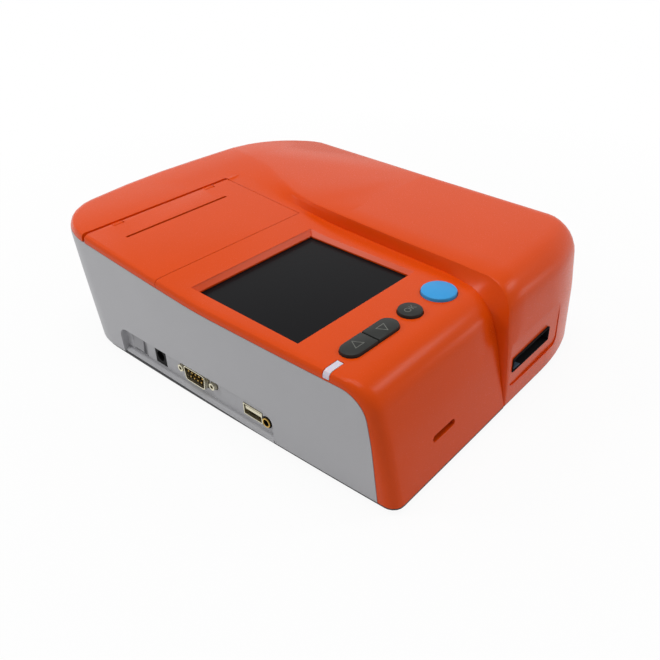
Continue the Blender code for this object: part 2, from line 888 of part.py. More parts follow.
def half_pill_points(x_side, grow):
    """Outline of one arrow key: square where the two keys meet, round at the outer end."""
    radius = arrow_keys_width / 2 + grow
    inner = arrow_split / 2
    outer = arrow_keys_length / 2 + grow - radius
    points = [Vector((x_side * inner, -x_side * radius, 0))]
    for step in range(SIDES // 2 + 1):
        angle = -pi / 2 + pi * step / (SIDES // 2)
        points.append(Vector((x_side * (outer + radius * cos(angle)), x_side * radius * sin(angle), 0)))
    points.append(Vector((x_side * inner, x_side * radius, 0)))
    return points


def key_cutters():
    """Holes of the keys through the cover."""
    holes = []
    for x, diameter in ((start_key_x, start_key_diameter), (ok_key_x, ok_key_diameter)):
        radius = diameter / 2 + key_clearance
        hole = cylinder_mesh(radius, Vector((0, 0, -cut_over)), Vector((0, 0, cut_over)))
        holes.append(place_in(hole, key_frame(x)))
    across, along = Vector((1, 0, 0)), Vector((0, 1, 0))
    outline = obround_points(Vector((0, 0, 0)), arrow_keys_length + 2 * key_clearance,
                             arrow_keys_width + 2 * key_clearance, across, along)
    holes.append(place_in(local_prism(outline, -cut_over, cut_over), key_frame(arrow_keys_x)))
    return holes


def light_pipe_block(grow):
    """Block that the light pipe and its slot are cut from, larger all round by grow."""
    right = -half_width + light_pipe_reach
    middle = front_y + light_pipe_back
    low = deck_height(light_pipe_back) - light_pipe_wrap
    return block(-half_width - cut_over, right + grow, middle - light_pipe_width / 2 - grow,
                 middle + light_pipe_width / 2 + grow, low - grow, low + light_pipe_wrap + cut_over)


def chip_outline(grow):
    y = front_face_y(chip_slot_x, chip_slot_level)
    centre = Vector((chip_slot_x, y - cut_over, chip_slot_level))
    return obround_points(centre, chip_slot_length + 2 * grow, chip_slot_height + 2 * grow,
                          Vector((1, 0, 0)), Vector((0, 0, 1)))


def slot_cutters():
    """Cartridge slot through the front, and the shallow panel round it."""
    middle_x = slot_left + slot_width / 2
    face = front_face_y(middle_x, slot_low)
    slot = block(slot_left, slot_left + slot_width, face - cut_over, face + cut_over + wall,
                 slot_low, slot_low + slot_height)
    centre = Vector((slot_panel_left + slot_panel_width / 2, face - cut_over,
                     slot_panel_low + slot_panel_height / 2))
    panel_face = front_line(centre.x, 0) + right_knee_back * slot_panel_low / knee_height
    outline = rounded_points(centre, slot_panel_width, slot_panel_height, wall * 1.6,
                             Vector((1, 0, 0)), Vector((0, 0, 1)))
    left_end = front_line(slot_panel_left, 0)
    right_end = front_line(slot_panel_left + slot_panel_width, 0)
    panel = prism_mesh(outline, Vector((0, panel_face + slot_panel_depth - centre.y, 0)))
    for vert in panel.verts:
        share = (vert.co.x - slot_panel_left) / slot_panel_width
        vert.co.y += left_end + (right_end - left_end) * share - front_line(centre.x, 0)
    return [slot, panel]


def door_region(grow):
    """Space of the printer door over the bay, larger by grow at its seams."""
    hinge_y, hinge_z = hinge_axis()
    low = deck_height(door_front) - band_height - wall * 4
    back = hinge_y + grow + (door_bead * tan(pi / 4 * door_open_share) + grow if grow > 0 else 0)
    return block(-half_width - cut_over, door_right + grow, front_y + door_front - grow, back,
                 low, rear_height + cut_over)


def along_x(radius, left, right, y, z, sides=16):
    return cylinder_mesh(radius, Vector((left, y, z)), Vector((right, y, z)), sides)


def make_cover(shop, looks):
    """Orange cover: two-level moulded shell with its screen, key, slot and door openings."""
    cover = shop.node("top_cover", body_form(0, case_floor, True), looks["orange"])
    shop.cut(cover, body_form(wall, case_floor - cut_over, False), "hollow")
    shop.cut(cover, seam_form(0), "seam")
    hinge_y, hinge_z = hinge_axis()
    grown = [screen_tub()]
    for x, y, height in boss_places():
        grown.append(upright(boss_diameter / 2, x, y, case_floor, height - wall / 2, 20))
    wide, deep = window_size()
    for x, along in keypad_posts():
        post = cylinder_mesh(post_diameter / 2, Vector((0, 0, -keypad_drop() + seat_gap)),
                             Vector((0, 0, -wall / 2)), 16)
        frame = key_frame(x)
        shifted = (frame[0] + frame[2] * along, *frame[1:])
        grown.append(place_in(post, shifted))
    for number, solid in enumerate(grown):
        shop.add(cover, solid, f"grown_{number}")
    cuts = screen_cutter() + key_cutters() + [light_pipe_block(seat_gap)] + slot_cutters()
    cuts.append(prism_mesh(chip_outline(0), Vector((0, cut_over * 2 + wall, 0))))
    for x, y, height in boss_places():
        cuts.append(upright(boss_bore / 2, x, y, case_floor - cut_over,
                            case_floor + case_screw_length, 16))
    cuts.append(door_region(door_gap))
    for number, solid in enumerate(cuts):
        shop.cut(cover, solid, f"opening_{number}")
    lug_back = hinge_y + door_bead * tan(pi / 4 * door_open_share) + 2 * door_gap + wall
    for number, x in enumerate(hinge_lug_places()):
        left, right = x - hinge_lug_width / 2, x + hinge_lug_width / 2
        shop.add(cover, along_x(door_bead, left, right, hinge_y, hinge_z), f"lug_{number}")
        neck = block(left, right, hinge_y, lug_back, hinge_z - door_bead * 0.7, hinge_z + door_bead * 0.7)
        shop.add(cover, neck, f"neck_{number}")
    end_boss = along_x(door_bead * 1.3, door_right + door_gap, door_right + 4 * door_bead,
                       hinge_y, hinge_z)
    shop.add(cover, end_boss, "pin_boss")
    bore = along_x(hinge_pin_diameter / 2 + hinge_bore_clearance, -half_width + hinge_end_inset - wall,
                   door_right + 3 * door_bead, hinge_y, hinge_z)
    shop.cut(cover, bore, "pin_bore")
    return cover


def make_housing(shop, looks):
    """Grey housing: left, rear and right walls, with the connector recess."""
    housing = shop.node("housing", body_form(0, case_floor, True), looks["grey"])
    shop.keep(housing, seam_form(seam_gap), "seam")
    shop.cut(housing, body_form(wall, case_floor - cut_over, False), "hollow")
    panel_x = -half_width + recess_panel_inset
    front, back = front_y + recess_front, front_y + recess_back
    pad = block(panel_x - wall / 2, panel_x + socket_pad_thickness, front - wall, back + wall,
                case_floor, recess_top + wall)
    shop.add(housing, pad, "pad")
    centre = Vector((panel_x - cut_over * 2, (front + back) / 2, (recess_top - cut_over) / 2))
    outline = rounded_points(centre, back - front, recess_top + cut_over, recess_corner,
                             Vector((0, 1, 0)), Vector((0, 0, 1)))
    outline = [Vector((p.x, p.y, p.z if p.z > 0 else -cut_over)) for p in outline]
    shop.cut(housing, prism_mesh(unique(outline), Vector((cut_over * 2, 0, 0))), "recess")
    for number, solid in enumerate(socket_holes(panel_x)):
        shop.cut(housing, solid, f"socket_{number}")
    return housing


def unique(points):
    kept = []
    for point in points:
        if not kept or (point - kept[-1]).length > wall / 100:
            kept.append(point)
    if (kept[0] - kept[-1]).length < wall / 100:
        kept.pop()
    return kept


def board_top():
    return board_level + circuit_thickness


def serial_level():
    return board_top() + seat_gap + serial_flange_height / 2


def usb_level():
    return board_top() + seat_gap + usb_height / 2


def audio_level():
    return board_top() + seat_gap + audio_size / 2


def power_level():
    return plate_top + power_jack_height / 2 + 3 * wall / 2


def socket_holes(panel_x):
    start, stop = panel_x - cut_over, panel_x + socket_pad_thickness + cut_over
    reach = Vector((stop - start, 0, 0))
    y_axis, z_axis = Vector((0, 1, 0)), Vector((0, 0, 1))
    serial_y = front_y + serial_back
    holes = [prism_mesh(d_outline(start, serial_y, serial_level(), socket_gap * 2), reach)]
    for side in (-1, 1):
        y = serial_y + side * jackscrew_spacing / 2
        holes.append(along_x(jackscrew_diameter / 2 + socket_gap * 2, start, stop, y, serial_level(), 20))
    usb_y = front_y + usb_back
    holes.append(block(start, stop, usb_y - usb_width / 2 - socket_gap, usb_y + usb_width / 2 + socket_gap,
                       usb_level() - usb_height / 2 - socket_gap, usb_level() + usb_height / 2 + socket_gap))
    holes.append(along_x(audio_size / 2 + socket_gap, start, stop, front_y + audio_back, audio_level(), 20))
    jack_y = front_y + power_jack_back
    holes.append(block(start, stop, jack_y - power_jack_width / 2 - socket_gap,
                       jack_y + power_jack_width / 2 + socket_gap,
                       power_level() - power_jack_height / 2 - socket_gap,
                       power_level() + power_jack_height / 2 + socket_gap))
    rocker_y = front_y + rocker_back
    holes.append(block(start, stop, rocker_y - rocker_width / 2 - rocker_rim - socket_gap,
                       rocker_y + rocker_width / 2 + rocker_rim + socket_gap,
                       power_level() - rocker_height / 2 - rocker_rim - socket_gap,
                       power_level() + rocker_height / 2 + rocker_rim + socket_gap))
    return holes


def d_outline(x, y, z, grow):
    """Outline of the nine-way connector's shell: a D with slanted ends and round corners."""
    slant = serial_height * 0.12
    wide, narrow = serial_length / 2 + grow, serial_length / 2 + grow - slant
    high = serial_height / 2 + grow
    corners = ((wide, high), (-wide, high), (-narrow, -high), (narrow, -high))
    radius = serial_height * 0.22 + grow / 2
    points = []
    for index, corner in enumerate(corners):
        here = Vector(corner)
        before = Vector(corners[index - 1]) - here
        after = Vector(corners[(index + 1) % 4]) - here
        angle = before.angle(after)
        reach = radius / tan(angle / 2)
        for step in range(5):
            share = step / 4
            a = here + before.normalized() * reach * (1 - share) ** 2
            b = after.normalized() * reach * share ** 2
            points.append(Vector((x, y + (a + b).x, z + (a + b).y)))
    return points


def keypad_posts():
    """Places of the posts that carry the keypad board: across, and along from the key row."""
    start_side = start_key_x - start_key_diameter / 2 - key_flange
    ok_side = ok_key_x + ok_key_diameter / 2 + key_flange
    arrow_side = arrow_keys_x - arrow_keys_length / 2 - key_flange
    along = keypad_board_width / 2 - post_diameter / 2
    return ((start_side + ok_side) / 2, along), (arrow_side - post_diameter / 2 - wall / 4, along)


def keypad_drop():
    """Depth of the keypad board's top under the deck surface."""
    return (wall + seat_gap + key_flange_thickness + key_stem_length
            + key_travel + seat_gap + switch_height)


def make_plate(shop, looks):
    """Dark base plate with the posts that carry the boards and the reader."""
    outline = floor_outline(plate_setback, plate_low)
    plate = shop.node("base_plate", prism_mesh(outline, Vector((0, 0, plate_thickness))), looks["dark"])
    sink = plate_thickness / 2
    for number, (x, y) in enumerate(board_post_places()):
        shop.add(plate, upright(board_post_diameter / 2, x, y, plate_top - sink,
                                board_level - seat_gap, 16), f"board_post_{number}")
    for number, (x, y) in enumerate(reader_post_places()):
        shop.add(plate, upright(board_post_diameter / 2, x, y, plate_top - sink,
                                reader_floor_level - seat_gap, 16), f"reader_post_{number}")
    for number, (x, y, _) in enumerate(boss_places()):
        shop.cut(plate, upright(boss_bore / 2, x, y, 0, plate_top + cut_over, 20), f"hole_{number}")
        head = case_screw_head / 2 + socket_gap
        shop.cut(plate, upright(head, x, y, 0, plate_low + case_screw_head_height + 2 * MM / 10, 24),
                 f"sink_{number}")
    return plate


def board_box():
    left = -half_width + board_setback
    return left, left + board_width, front_y + board_front, front_y + board_front + board_length


def board_post_places():
    left, right, front, back = board_box()
    return [(x, y) for x in (left + 2 * post_inset, right - post_inset)
            for y in (front + post_inset, back - post_inset)]


def reader_box():
    return reader_left, reader_right, front_y + reader_front, front_y + reader_back


def reader_post_places():
    left, right, front, back = reader_box()
    return [(x, y) for x in (left + post_inset, right - post_inset)
            for y in (front + post_inset, back - post_inset)]


def make_fasteners(shop, looks):
    """Case screws up into the cover's bosses, and the four feet."""
    names = ("front_left", "front_right", "rear_left", "rear_right")
    for name, (x, y, _) in zip(names, boss_places()):
        low = plate_low + MM / 10
        screw = shop.node(f"case_screw_{name}",
                          upright(case_screw_head / 2, x, y, low, low + case_screw_head_height, 20),
                          looks["steel"])
        shop.add(screw, upright(case_screw_diameter / 2, x, y, low + case_screw_head_height / 2,
                                low + case_screw_length, 16), "shank")
    places = [(side_x * (half_width - foot_inset_x), side_y * (half_depth - foot_inset_y))
              for side_y in (-1, 1) for side_x in (-1, 1)]
    for name, (x, y) in zip(names, places):
        bm = cylinder_mesh(foot_diameter / 2 * 0.92, Vector((x, y, 0)), Vector((x, y, foot_height)), 24,
                           end_radius=foot_diameter / 2)
        shop.node(f"foot_{name}", bm, looks["rubber"])


def make_door(shop, looks):
    """Printer door with its paper slit and hinge bead, and the hinge pin."""
    hinge_y, hinge_z = hinge_axis()
    origin = Vector((0, hinge_y, hinge_z))
    door = shop.node("printer_door", body_form(0, case_floor, True), looks["orange"], origin)
    shop.keep(door, door_region(0), "region")
    shop.cut(door, body_form(wall, case_floor - cut_over, False), "hollow")
    shop.cut(door, seam_form(0), "seam")
    bead = along_x(door_bead, -half_width + wall, door_right, hinge_y, hinge_z, 24)
    shop.add(door, bead, "bead")
    slit_y = front_y + slit_back
    deck = deck_height(slit_back)
    slit = block(slit_centre_x - slit_length / 2, slit_centre_x + slit_length / 2,
                 slit_y - slit_width / 2, slit_y + slit_width / 2, deck - cut_over, deck + cut_over)
    shop.cut(door, slit, "slit")
    bore = along_x(hinge_pin_diameter / 2 + hinge_bore_clearance, -half_width + hinge_end_inset - wall / 2,
                   door_right + cut_over, hinge_y, hinge_z)
    shop.cut(door, bore, "bore")
    for number, x in enumerate(hinge_lug_places()):
        half = hinge_lug_width / 2 + door_gap
        notch = block(x - half, x + half, hinge_y - door_bead - door_gap, hinge_y + cut_over,
                      hinge_z - cut_over, hinge_z + cut_over)
        shop.cut(door, notch, f"notch_{number}")
    pin_left = -half_width + hinge_end_inset
    shop.node("door_hinge_pin", along_x(hinge_pin_diameter / 2, pin_left,
                                        door_right + 2.5 * door_bead, hinge_y, hinge_z, 16),
              looks["steel"])


def make_display(shop, looks):
    """Screen glass and the display module behind it."""
    wide, deep = window_size()
    frame = screen_rim()
    top = -screen_recess - screen_lip - seat_gap
    glass = block(-wide / 2 - glass_lap, wide / 2 + glass_lap, -deep / 2 - glass_lap,
                  deep / 2 + glass_lap, top - glass_thickness, top)
    shop.node("display_lens", place_in(glass, frame), looks["glass"])
    low = top - glass_thickness - seat_gap
    module = block(-wide / 2 - glass_lap - screen_frame, wide / 2 + glass_lap + screen_frame,
                   -deep / 2 - glass_lap - screen_frame, deep / 2 + glass_lap + screen_frame,
                   low - lcd_thickness, low)
    shop.node("display_module", place_in(module, frame), looks["dark"])


def make_keys(shop, looks):
    """The keys with their flanges and stems, and the keypad board with its switches."""
    flange_top = -wall - seat_gap
    flange_low = flange_top - key_flange_thickness
    for name, x, length, width in key_outlines():
        frame = key_frame(arrow_keys_x if "up" in name or "down" in name else x)
        if name in ("start_button", "ok_button"):
            radius = length / 2
            cap = cylinder_mesh(radius, Vector((0, 0, flange_low)), Vector((0, 0, key_rise)))
            edges = [edge for edge in cap.edges if all(v.co.z > 0 for v in edge.verts)]
            bmesh.ops.bevel(cap, geom=edges, offset=key_rise / 3, segments=2, profile=0.5,
                            affect="EDGES", material=-1)
            flange = cylinder_mesh(radius + key_flange, Vector((0, 0, flange_low)),
                                   Vector((0, 0, flange_top)))
            stem_x = 0
        else:
            side = -1 if name == "up_button" else 1
            cap = local_prism(half_pill_points(side, 0), flange_low, key_rise)
            edges = [edge for edge in cap.edges if all(v.co.z > 0 for v in edge.verts)]
            bmesh.ops.bevel(cap, geom=edges, offset=key_rise / 3, segments=2, profile=0.5,
                            affect="EDGES", material=-1)
            flange = local_prism(half_pill_points(side, key_flange), flange_low, flange_top)
            stem_x = side * arrow_keys_length / 4
        look = looks["blue"] if name == "start_button" else looks["charcoal"]
        key = shop.node(name, place_in(cap, frame), look)
        shop.add(key, place_in(flange, frame), "flange")
        stem = cylinder_mesh(key_stem_diameter / 2, Vector((stem_x, 0, flange_low - key_stem_length)),
                             Vector((stem_x, 0, flange_low + key_flange_thickness / 2)), 16)
        shop.add(key, place_in(stem, frame), "stem")
    frame = key_frame(0)
    drop = keypad_drop()
    left = -half_width + light_pipe_reach - light_pipe_leg - wall / 2
    right = start_key_x + start_key_diameter / 2
    along = keypad_board_width / 2
    board = shop.node("keypad_board",
                      place_in(block(left, right, -along, along, -drop - circuit_thickness, -drop), frame),
                      looks["board"])
    for name, x, length, width in key_outlines():
        half = switch_body / 2
        switch = block(x - half, x + half, -half, half, -drop - circuit_thickness / 2, -drop + switch_height)
        shop.add(board, place_in(switch, frame), "switch")


def make_front_fittings(shop, looks):
    """Light pipe flush with the case, and the chip socket behind its slot."""
    pipe = shop.node("light_pipe", body_form(0, case_floor, True), looks["pipe"])
    shop.keep(pipe, light_pipe_block(0), "slot")
    top = deck_height(light_pipe_back) - light_pipe_wrap
    right = -half_width + light_pipe_reach
    middle = front_y + light_pipe_back
    half = light_pipe_width / 2
    leg = block(right - light_pipe_leg, right, middle - half, middle + half,
                top - light_pipe_leg_length, top + light_pipe_wrap / 4)
    shop.add(pipe, leg, "leg")
    y = front_face_y(chip_slot_x, chip_slot_level) + wall + socket_gap * 6
    half_x = chip_slot_length / 2 + wall
    socket = shop.node("chip_socket",
                       block(chip_slot_x - half_x, chip_slot_x + half_x, y, y + chip_body_depth,
                             chip_slot_level - wall * 1.6, chip_slot_level + wall * 1.6), looks["charcoal"])
    half_mouth = chip_slot_length / 2 - socket_gap
    mouth = block(chip_slot_x - half_mouth, chip_slot_x + half_mouth, y - cut_over,
                  y + chip_body_depth - wall, chip_slot_level - chip_slot_height / 3,
                  chip_slot_level + chip_slot_height / 3)
    shop.cut(socket, mouth, "mouth")
    foot = block(chip_slot_x - half_x, chip_slot_x + half_x, y + chip_body_depth - 2 * wall,
                 y + chip_body_depth, plate_top + seat_gap, chip_slot_level - wall)
    shop.add(socket, foot, "stand")


def gear_points(pitch_radius, teeth, backlash, phase):
    """Outline of a spur gear in the plane across its axis, with straight-flanked teeth."""
    module = 2 * pitch_radius / teeth
    outer, root = pitch_radius + module, pitch_radius - 1.25 * module
    tooth = 2 * pi / teeth
    half_pitch = (tooth / 2 - backlash / pitch_radius) / 2
    points = []
    for index in range(teeth):
        middle = phase + index * tooth
        for radius, offset in ((root, -half_pitch * 1.5), (outer, -half_pitch * 0.5),
                               (outer, half_pitch * 0.5), (root, half_pitch * 1.5)):
            angle = middle + offset
            points.append((radius * cos(angle), radius * sin(angle)))
    return points


def roller_place():
    y = front_y + slit_back - roller_diameter / 2 - seat_gap / 2
    return y, deck_height(slit_back) - roller_drop


def motor_place():
    y, z = roller_place()
    reach = gear_pitch_radius + pinion_pitch_radius
    motor_y = y - roller_diameter / 2 - roller_to_bay + bay_wall + motor_radius + 2 * seat_gap + roller_to_bay
    shift = motor_y - y
    return motor_y, z - sqrt(reach * reach - shift * shift)


def bay_places():
    """Front, middle and back of the paper bay, and its top."""
    y, _ = roller_place()
    back = y - roller_diameter / 2
    middle = back - bay_radius
    top = deck_height(door_front) - wall - bay_top_clearance
    return middle - bay_radius, middle, back, top


def make_printer(shop, looks):
    """Paper bay, platen roller, print head, gears and motor."""
    front, middle, back, top = bay_places()
    roller_y, roller_z = roller_place()
    motor_y, motor_z = motor_place()
    cheek = bay_width / 2 + bay_cheek
    left, right = slit_centre_x - cheek, slit_centre_x + cheek
    rear = motor_y + motor_radius + 2 * seat_gap
    frame = shop.node("printer_frame",
                      block(left, right, front - bay_wall, rear + bay_wall,
                            bay_bottom_height - bay_wall, top), looks["charcoal"])
    inner_left, inner_right = slit_centre_x - bay_width / 2, slit_centre_x + bay_width / 2
    centre_z = bay_bottom_height + bay_radius
    shop.cut(frame, along_x(bay_radius, inner_left, inner_right, middle, centre_z, 32), "roll_space")
    shop.cut(frame, block(inner_left, inner_right, front, back, centre_z, top + cut_over), "bay_mouth")
    shop.cut(frame, block(inner_left, inner_right, back + bay_wall, rear, motor_z - motor_radius - seat_gap,
                          top + cut_over), "channel")
    shop.cut(frame, block(inner_left, inner_right, back - bay_wall, back + 2 * bay_wall,
                          roller_z - roller_diameter / 2 - 2 * seat_gap, top + cut_over), "roller_space")
    shop.cut(frame, along_x(roller_shaft / 2 + shaft_clearance, inner_left - bay_cheek / 2, right + cut_over,
                            roller_y, roller_z, 16), "roller_bore")
    shop.cut(frame, along_x(motor_shaft / 2 + shaft_clearance, inner_right - bay_cheek, right + cut_over,
                            motor_y, motor_z, 16), "motor_bore")
    under = block(left - cut_over, right + cut_over, back + bay_wall, rear + bay_wall + cut_over,
                  0, motor_z - motor_radius - bay_wall - seat_gap)
    shop.cut(frame, under, "under_channel")
    for number, (x, y) in enumerate(printer_leg_places()):
        shop.add(frame, upright(bay_leg_diameter / 2, x, y, plate_top + seat_gap,
                                centre_z, 16), f"leg_{number}")
    origin = Vector((slit_centre_x, roller_y, roller_z))
    roller = shop.node("platen_roller", along_x(roller_diameter / 2, slit_centre_x - roller_length / 2,
                                                slit_centre_x + roller_length / 2, roller_y, roller_z, 24),
                       looks["rubber"], origin)
    gear_left = right + seat_gap
    shop.add(roller, along_x(roller_shaft / 2, inner_left - bay_cheek / 2 + seat_gap,
                             gear_left + gear_width, roller_y, roller_z, 16), "shaft")
    y_share = Vector((0, 1, 0))
    bearing = atan2(motor_z - roller_z, motor_y - roller_y)
    for name, (y, z), pitch, teeth, phase, bore in (
            ("platen_gear", (roller_y, roller_z), gear_pitch_radius, gear_teeth, bearing, roller_shaft),
            ("motor_gear", (motor_y, motor_z), pinion_pitch_radius, pinion_teeth,
             bearing + pi + pi / pinion_teeth, motor_shaft)):
        outline = [Vector((gear_left, y + a, z + b))
                   for a, b in gear_points(pitch, teeth, gear_backlash, phase)]
        gear = shop.node(name, prism_mesh(outline, Vector((gear_width, 0, 0))), looks["nylon"],
                         Vector((gear_left, y, z)))
        shop.cut(gear, along_x(bore / 2 + socket_gap * 0.8, gear_left - cut_over,
                               gear_left + cut_over + gear_width, y, z, 16), "gear_bore")
    motor_right = inner_right - seat_gap
    motor = shop.node("printer_motor", along_x(motor_radius, motor_right - motor_length, motor_right,
                                               motor_y, motor_z, 24), looks["steel"])
    shop.node("motor_shaft", along_x(motor_shaft / 2, motor_right + seat_gap, gear_left + gear_width,
                                     motor_y, motor_z, 16), looks["steel"],
              Vector((motor_right, motor_y, motor_z)))
    head_front = roller_y + roller_diameter / 2 + seat_gap
    low = roller_z - head_height / 2
    shop.node("print_head", block(slit_centre_x - head_length / 2, slit_centre_x + head_length / 2,
                                  head_front, rear - seat_gap, low + head_height / 5, low + head_height),
              looks["steel"])


def printer_leg_places():
    front, middle, back, top = bay_places()
    cheek = bay_width / 2 - bay_leg_inset
    return [(slit_centre_x + side * cheek, y) for side in (-1, 1)
            for y in (front + bay_leg_inset, back - bay_leg_inset)]


def make_sockets(shop, looks):
    """Main board and the connectors along the recess."""
    left, right, front, back = board_box()
    shop.node("main_board", block(left, right, front, back, board_level, board_top()), looks["board"])
    panel_x = -half_width + recess_panel_inset
    inside = panel_x + socket_pad_thickness + seat_gap
    y, z = front_y + serial_back, serial_level()
    flange = shop.node("serial_port", block(inside, inside + serial_flange_thickness,
                                            y - serial_flange_length / 2, y + serial_flange_length / 2,
                                            z - serial_flange_height / 2, z + serial_flange_height / 2),
                       looks["nickel"])
    shop.add(flange, prism_mesh(d_outline(inside - serial_shell_length, y, z, 0),
                                Vector((serial_shell_length + serial_flange_thickness / 2, 0, 0))), "shell")
    shop.add(flange, block(inside + serial_flange_thickness / 2, inside + serial_body_depth,
                           y - serial_length / 2, y + serial_length / 2,
                           z - serial_flange_height / 2, z + serial_height / 2), "body")
    shop.cut(flange, prism_mesh(d_outline(inside - serial_shell_length - cut_over, y, z, -socket_metal),
                                Vector((serial_shell_length + cut_over, 0, 0))), "cavity")
    floor_x = inside - seat_gap
    outline = d_outline(floor_x - socket_metal, y, z, -socket_metal - seat_gap)
    insert = shop.node("serial_pins", prism_mesh(outline, Vector((socket_metal, 0, 0))),
                       looks["charcoal"])
    for row, count, level in ((0, 5, 1), (1, 4, -1)):
        for index in range(count):
            pin_y = y + (index - (count - 1) / 2) * serial_length * 0.163
            pin_z = z + level * serial_height * 0.17
            shop.add(insert, along_x(serial_pin_diameter / 2, floor_x - serial_shell_length * 0.8,
                                     floor_x - socket_metal / 2, pin_y, pin_z, 8), f"pin_{row}_{index}")
    for name, side in (("jackscrew_front", -1), ("jackscrew_rear", 1)):
        screw_y = y + side * jackscrew_spacing / 2
        shop.node(name, along_x(jackscrew_diameter / 2, inside - seat_gap - jackscrew_length,
                                inside - seat_gap, screw_y, z, 6), looks["nickel"])
    y, z = front_y + usb_back, usb_level()
    mouth = panel_x - socket_gap
    usb = shop.node("usb_port", block(mouth, mouth + usb_depth, y - usb_width / 2, y + usb_width / 2,
                                      z - usb_height / 2, z + usb_height / 2), looks["nickel"])
    shop.cut(usb, block(mouth - cut_over, mouth + usb_depth - wall, y - usb_width / 2 + socket_metal,
                        y + usb_width / 2 - socket_metal, z - usb_height / 2 + socket_metal,
                        z + usb_height / 2 - socket_metal), "cavity")
    shop.add(usb, block(mouth + socket_metal, mouth + usb_depth - wall / 2, y - usb_width * 0.42,
                        y + usb_width * 0.42, z, z + usb_height * 0.28), "tongue")
    y, z = front_y + audio_back, audio_level()
    audio = shop.node("round_jack", block(inside, inside + usb_depth * 0.8, y - audio_size / 2,
                                          y + audio_size / 2, z - audio_size / 2, z + audio_size / 2),
                      looks["charcoal"])
    shop.add(audio, along_x(audio_size / 2, panel_x - socket_gap, inside + wall, y, z, 20), "nose")
    shop.cut(audio, along_x(audio_bore / 2, panel_x - cut_over, inside + usb_depth * 0.6, y, z, 16), "bore")
    y, z = front_y + power_jack_back, power_level()
    jack = shop.node("power_jack", block(panel_x, panel_x + power_jack_depth, y - power_jack_width / 2,
                                         y + power_jack_width / 2, z - power_jack_height / 2,
                                         z + power_jack_height / 2), looks["charcoal"])
    shop.add(jack, block(panel_x + power_jack_depth / 2, panel_x + power_jack_depth, y - power_jack_width / 2,
                         y + power_jack_width / 2, plate_top + seat_gap, z), "stand")
    shop.cut(jack, along_x(power_jack_bore / 2, panel_x - cut_over, panel_x + power_jack_depth - wall,
                           y, z, 20), "bore")
    shop.add(jack, along_x(power_jack_bore / 6, panel_x + wall, panel_x + power_jack_depth - wall / 2,
                           y, z, 12), "pin")
    make_rocker(shop, looks, panel_x)


def make_rocker(shop, looks, panel_x):
    """Power switch body and its rocker, which turns about a line along the case."""
    y, z = front_y + rocker_back, power_level()
    half_y = rocker_width / 2 + rocker_rim
    half_z = rocker_height / 2 + rocker_rim
    body = shop.node("power_switch", block(panel_x, panel_x + rocker_depth, y - half_y, y + half_y,
                                           z - half_z, z + half_z), looks["charcoal"])
    shop.add(body, block(panel_x + rocker_depth / 2, panel_x + rocker_depth, y - half_y, y + half_y,
                         plate_top + seat_gap, z), "stand")
    shop.cut(body, block(panel_x - cut_over, panel_x + rocker_depth - wall, y - rocker_width / 2,
                         y + rocker_width / 2, z - rocker_height / 2, z + rocker_height / 2), "well")
    radius = rocker_height / 2 - seat_gap
    axis_x = panel_x + radius * rocker_axis_share
    rocker = cylinder_mesh(radius, Vector((axis_x, y - rocker_width / 2 + seat_gap, z)),
                           Vector((axis_x, y + rocker_width / 2 - seat_gap, z)), 28)
    node = shop.node("power_rocker", rocker, looks["charcoal"], Vector((axis_x, y, z)))
    tilt = Matrix.Rotation(pi / 2 * rocker_tilt_share, 4, "Y")
    for label, start, stop in (("face", -rocker_depth, -radius * rocker_face_share),
                               ("back", radius * rocker_back_share, rocker_depth)):
        side = block(start, stop, -rocker_width, rocker_width, -rocker_height, rocker_height)
        bmesh.ops.transform(side, matrix=Matrix.Translation(Vector((axis_x, y, z))) @ tilt,
                            verts=side.verts)
        shop.cut(node, side, label)


def tray_middle():
    return slot_left + slot_width / 2


def tray_front():
    return front_face_y(tray_middle(), slot_low) + tray_setback


def screw_level():
    return tray_level + tray_thickness / 2


def make_reader(shop, looks):
    """Reader frame, cartridge tray and its drive, and the optics head."""
    left, right, front, back = reader_box()
    low = reader_floor_level
    floor_top = low + reader_floor_thickness
    frame = shop.node("reader_frame", block(left, right, front, back, low, floor_top), looks["aluminium"])
    for y_low in (front, back - reader_plate_thickness):
        shop.add(frame, block(left, right, y_low, y_low + reader_plate_thickness, floor_top - wall / 4,
                              reader_plate_top), "end_plate")
    bridge_front = front_y + optics_front
    for x in (left, right - reader_plate_thickness):
        shop.add(frame, block(x, x + reader_plate_thickness, bridge_front, bridge_front + optics_length,
                              floor_top - wall / 4, optics_flange_level - seat_gap), "bridge_side")
    middle = tray_middle()
    reach = tray_width / 2 + 2 * seat_gap
    shop.cut(frame, block(middle - reach, middle + reach, front - cut_over, front + cut_over,
                          tray_level - 2 * seat_gap, reader_plate_top + cut_over), "tray_window")
    level = screw_level()
    for x in (guide_rod_left, guide_rod_right):
        rod = guide_rod_diameter / 2
        seat = reader_plate_thickness / 2
        shop.cut(frame, along_y(rod + shaft_clearance, x, level, front + seat - seat_gap,
                                back - seat + seat_gap, 16), "rod_seat")
    shop.cut(frame, along_y(drive_screw_diameter / 2 + shaft_clearance, drive_screw_x, level,
                            front + reader_plate_thickness / 2, back + cut_over, 20), "screw_bore")
    for name, x in (("guide_rod_left", guide_rod_left), ("guide_rod_right", guide_rod_right)):
        seat = reader_plate_thickness / 2
        shop.node(name, along_y(guide_rod_diameter / 2, x, level, front + seat, back - seat, 16),
                  looks["steel"])
    make_tray(shop, looks)
    make_drive(shop, looks)
    make_optics(shop, looks)


def along_y(radius, x, z, front, back, sides=16):
    return cylinder_mesh(radius, Vector((x, front, z)), Vector((x, back, z)), sides)


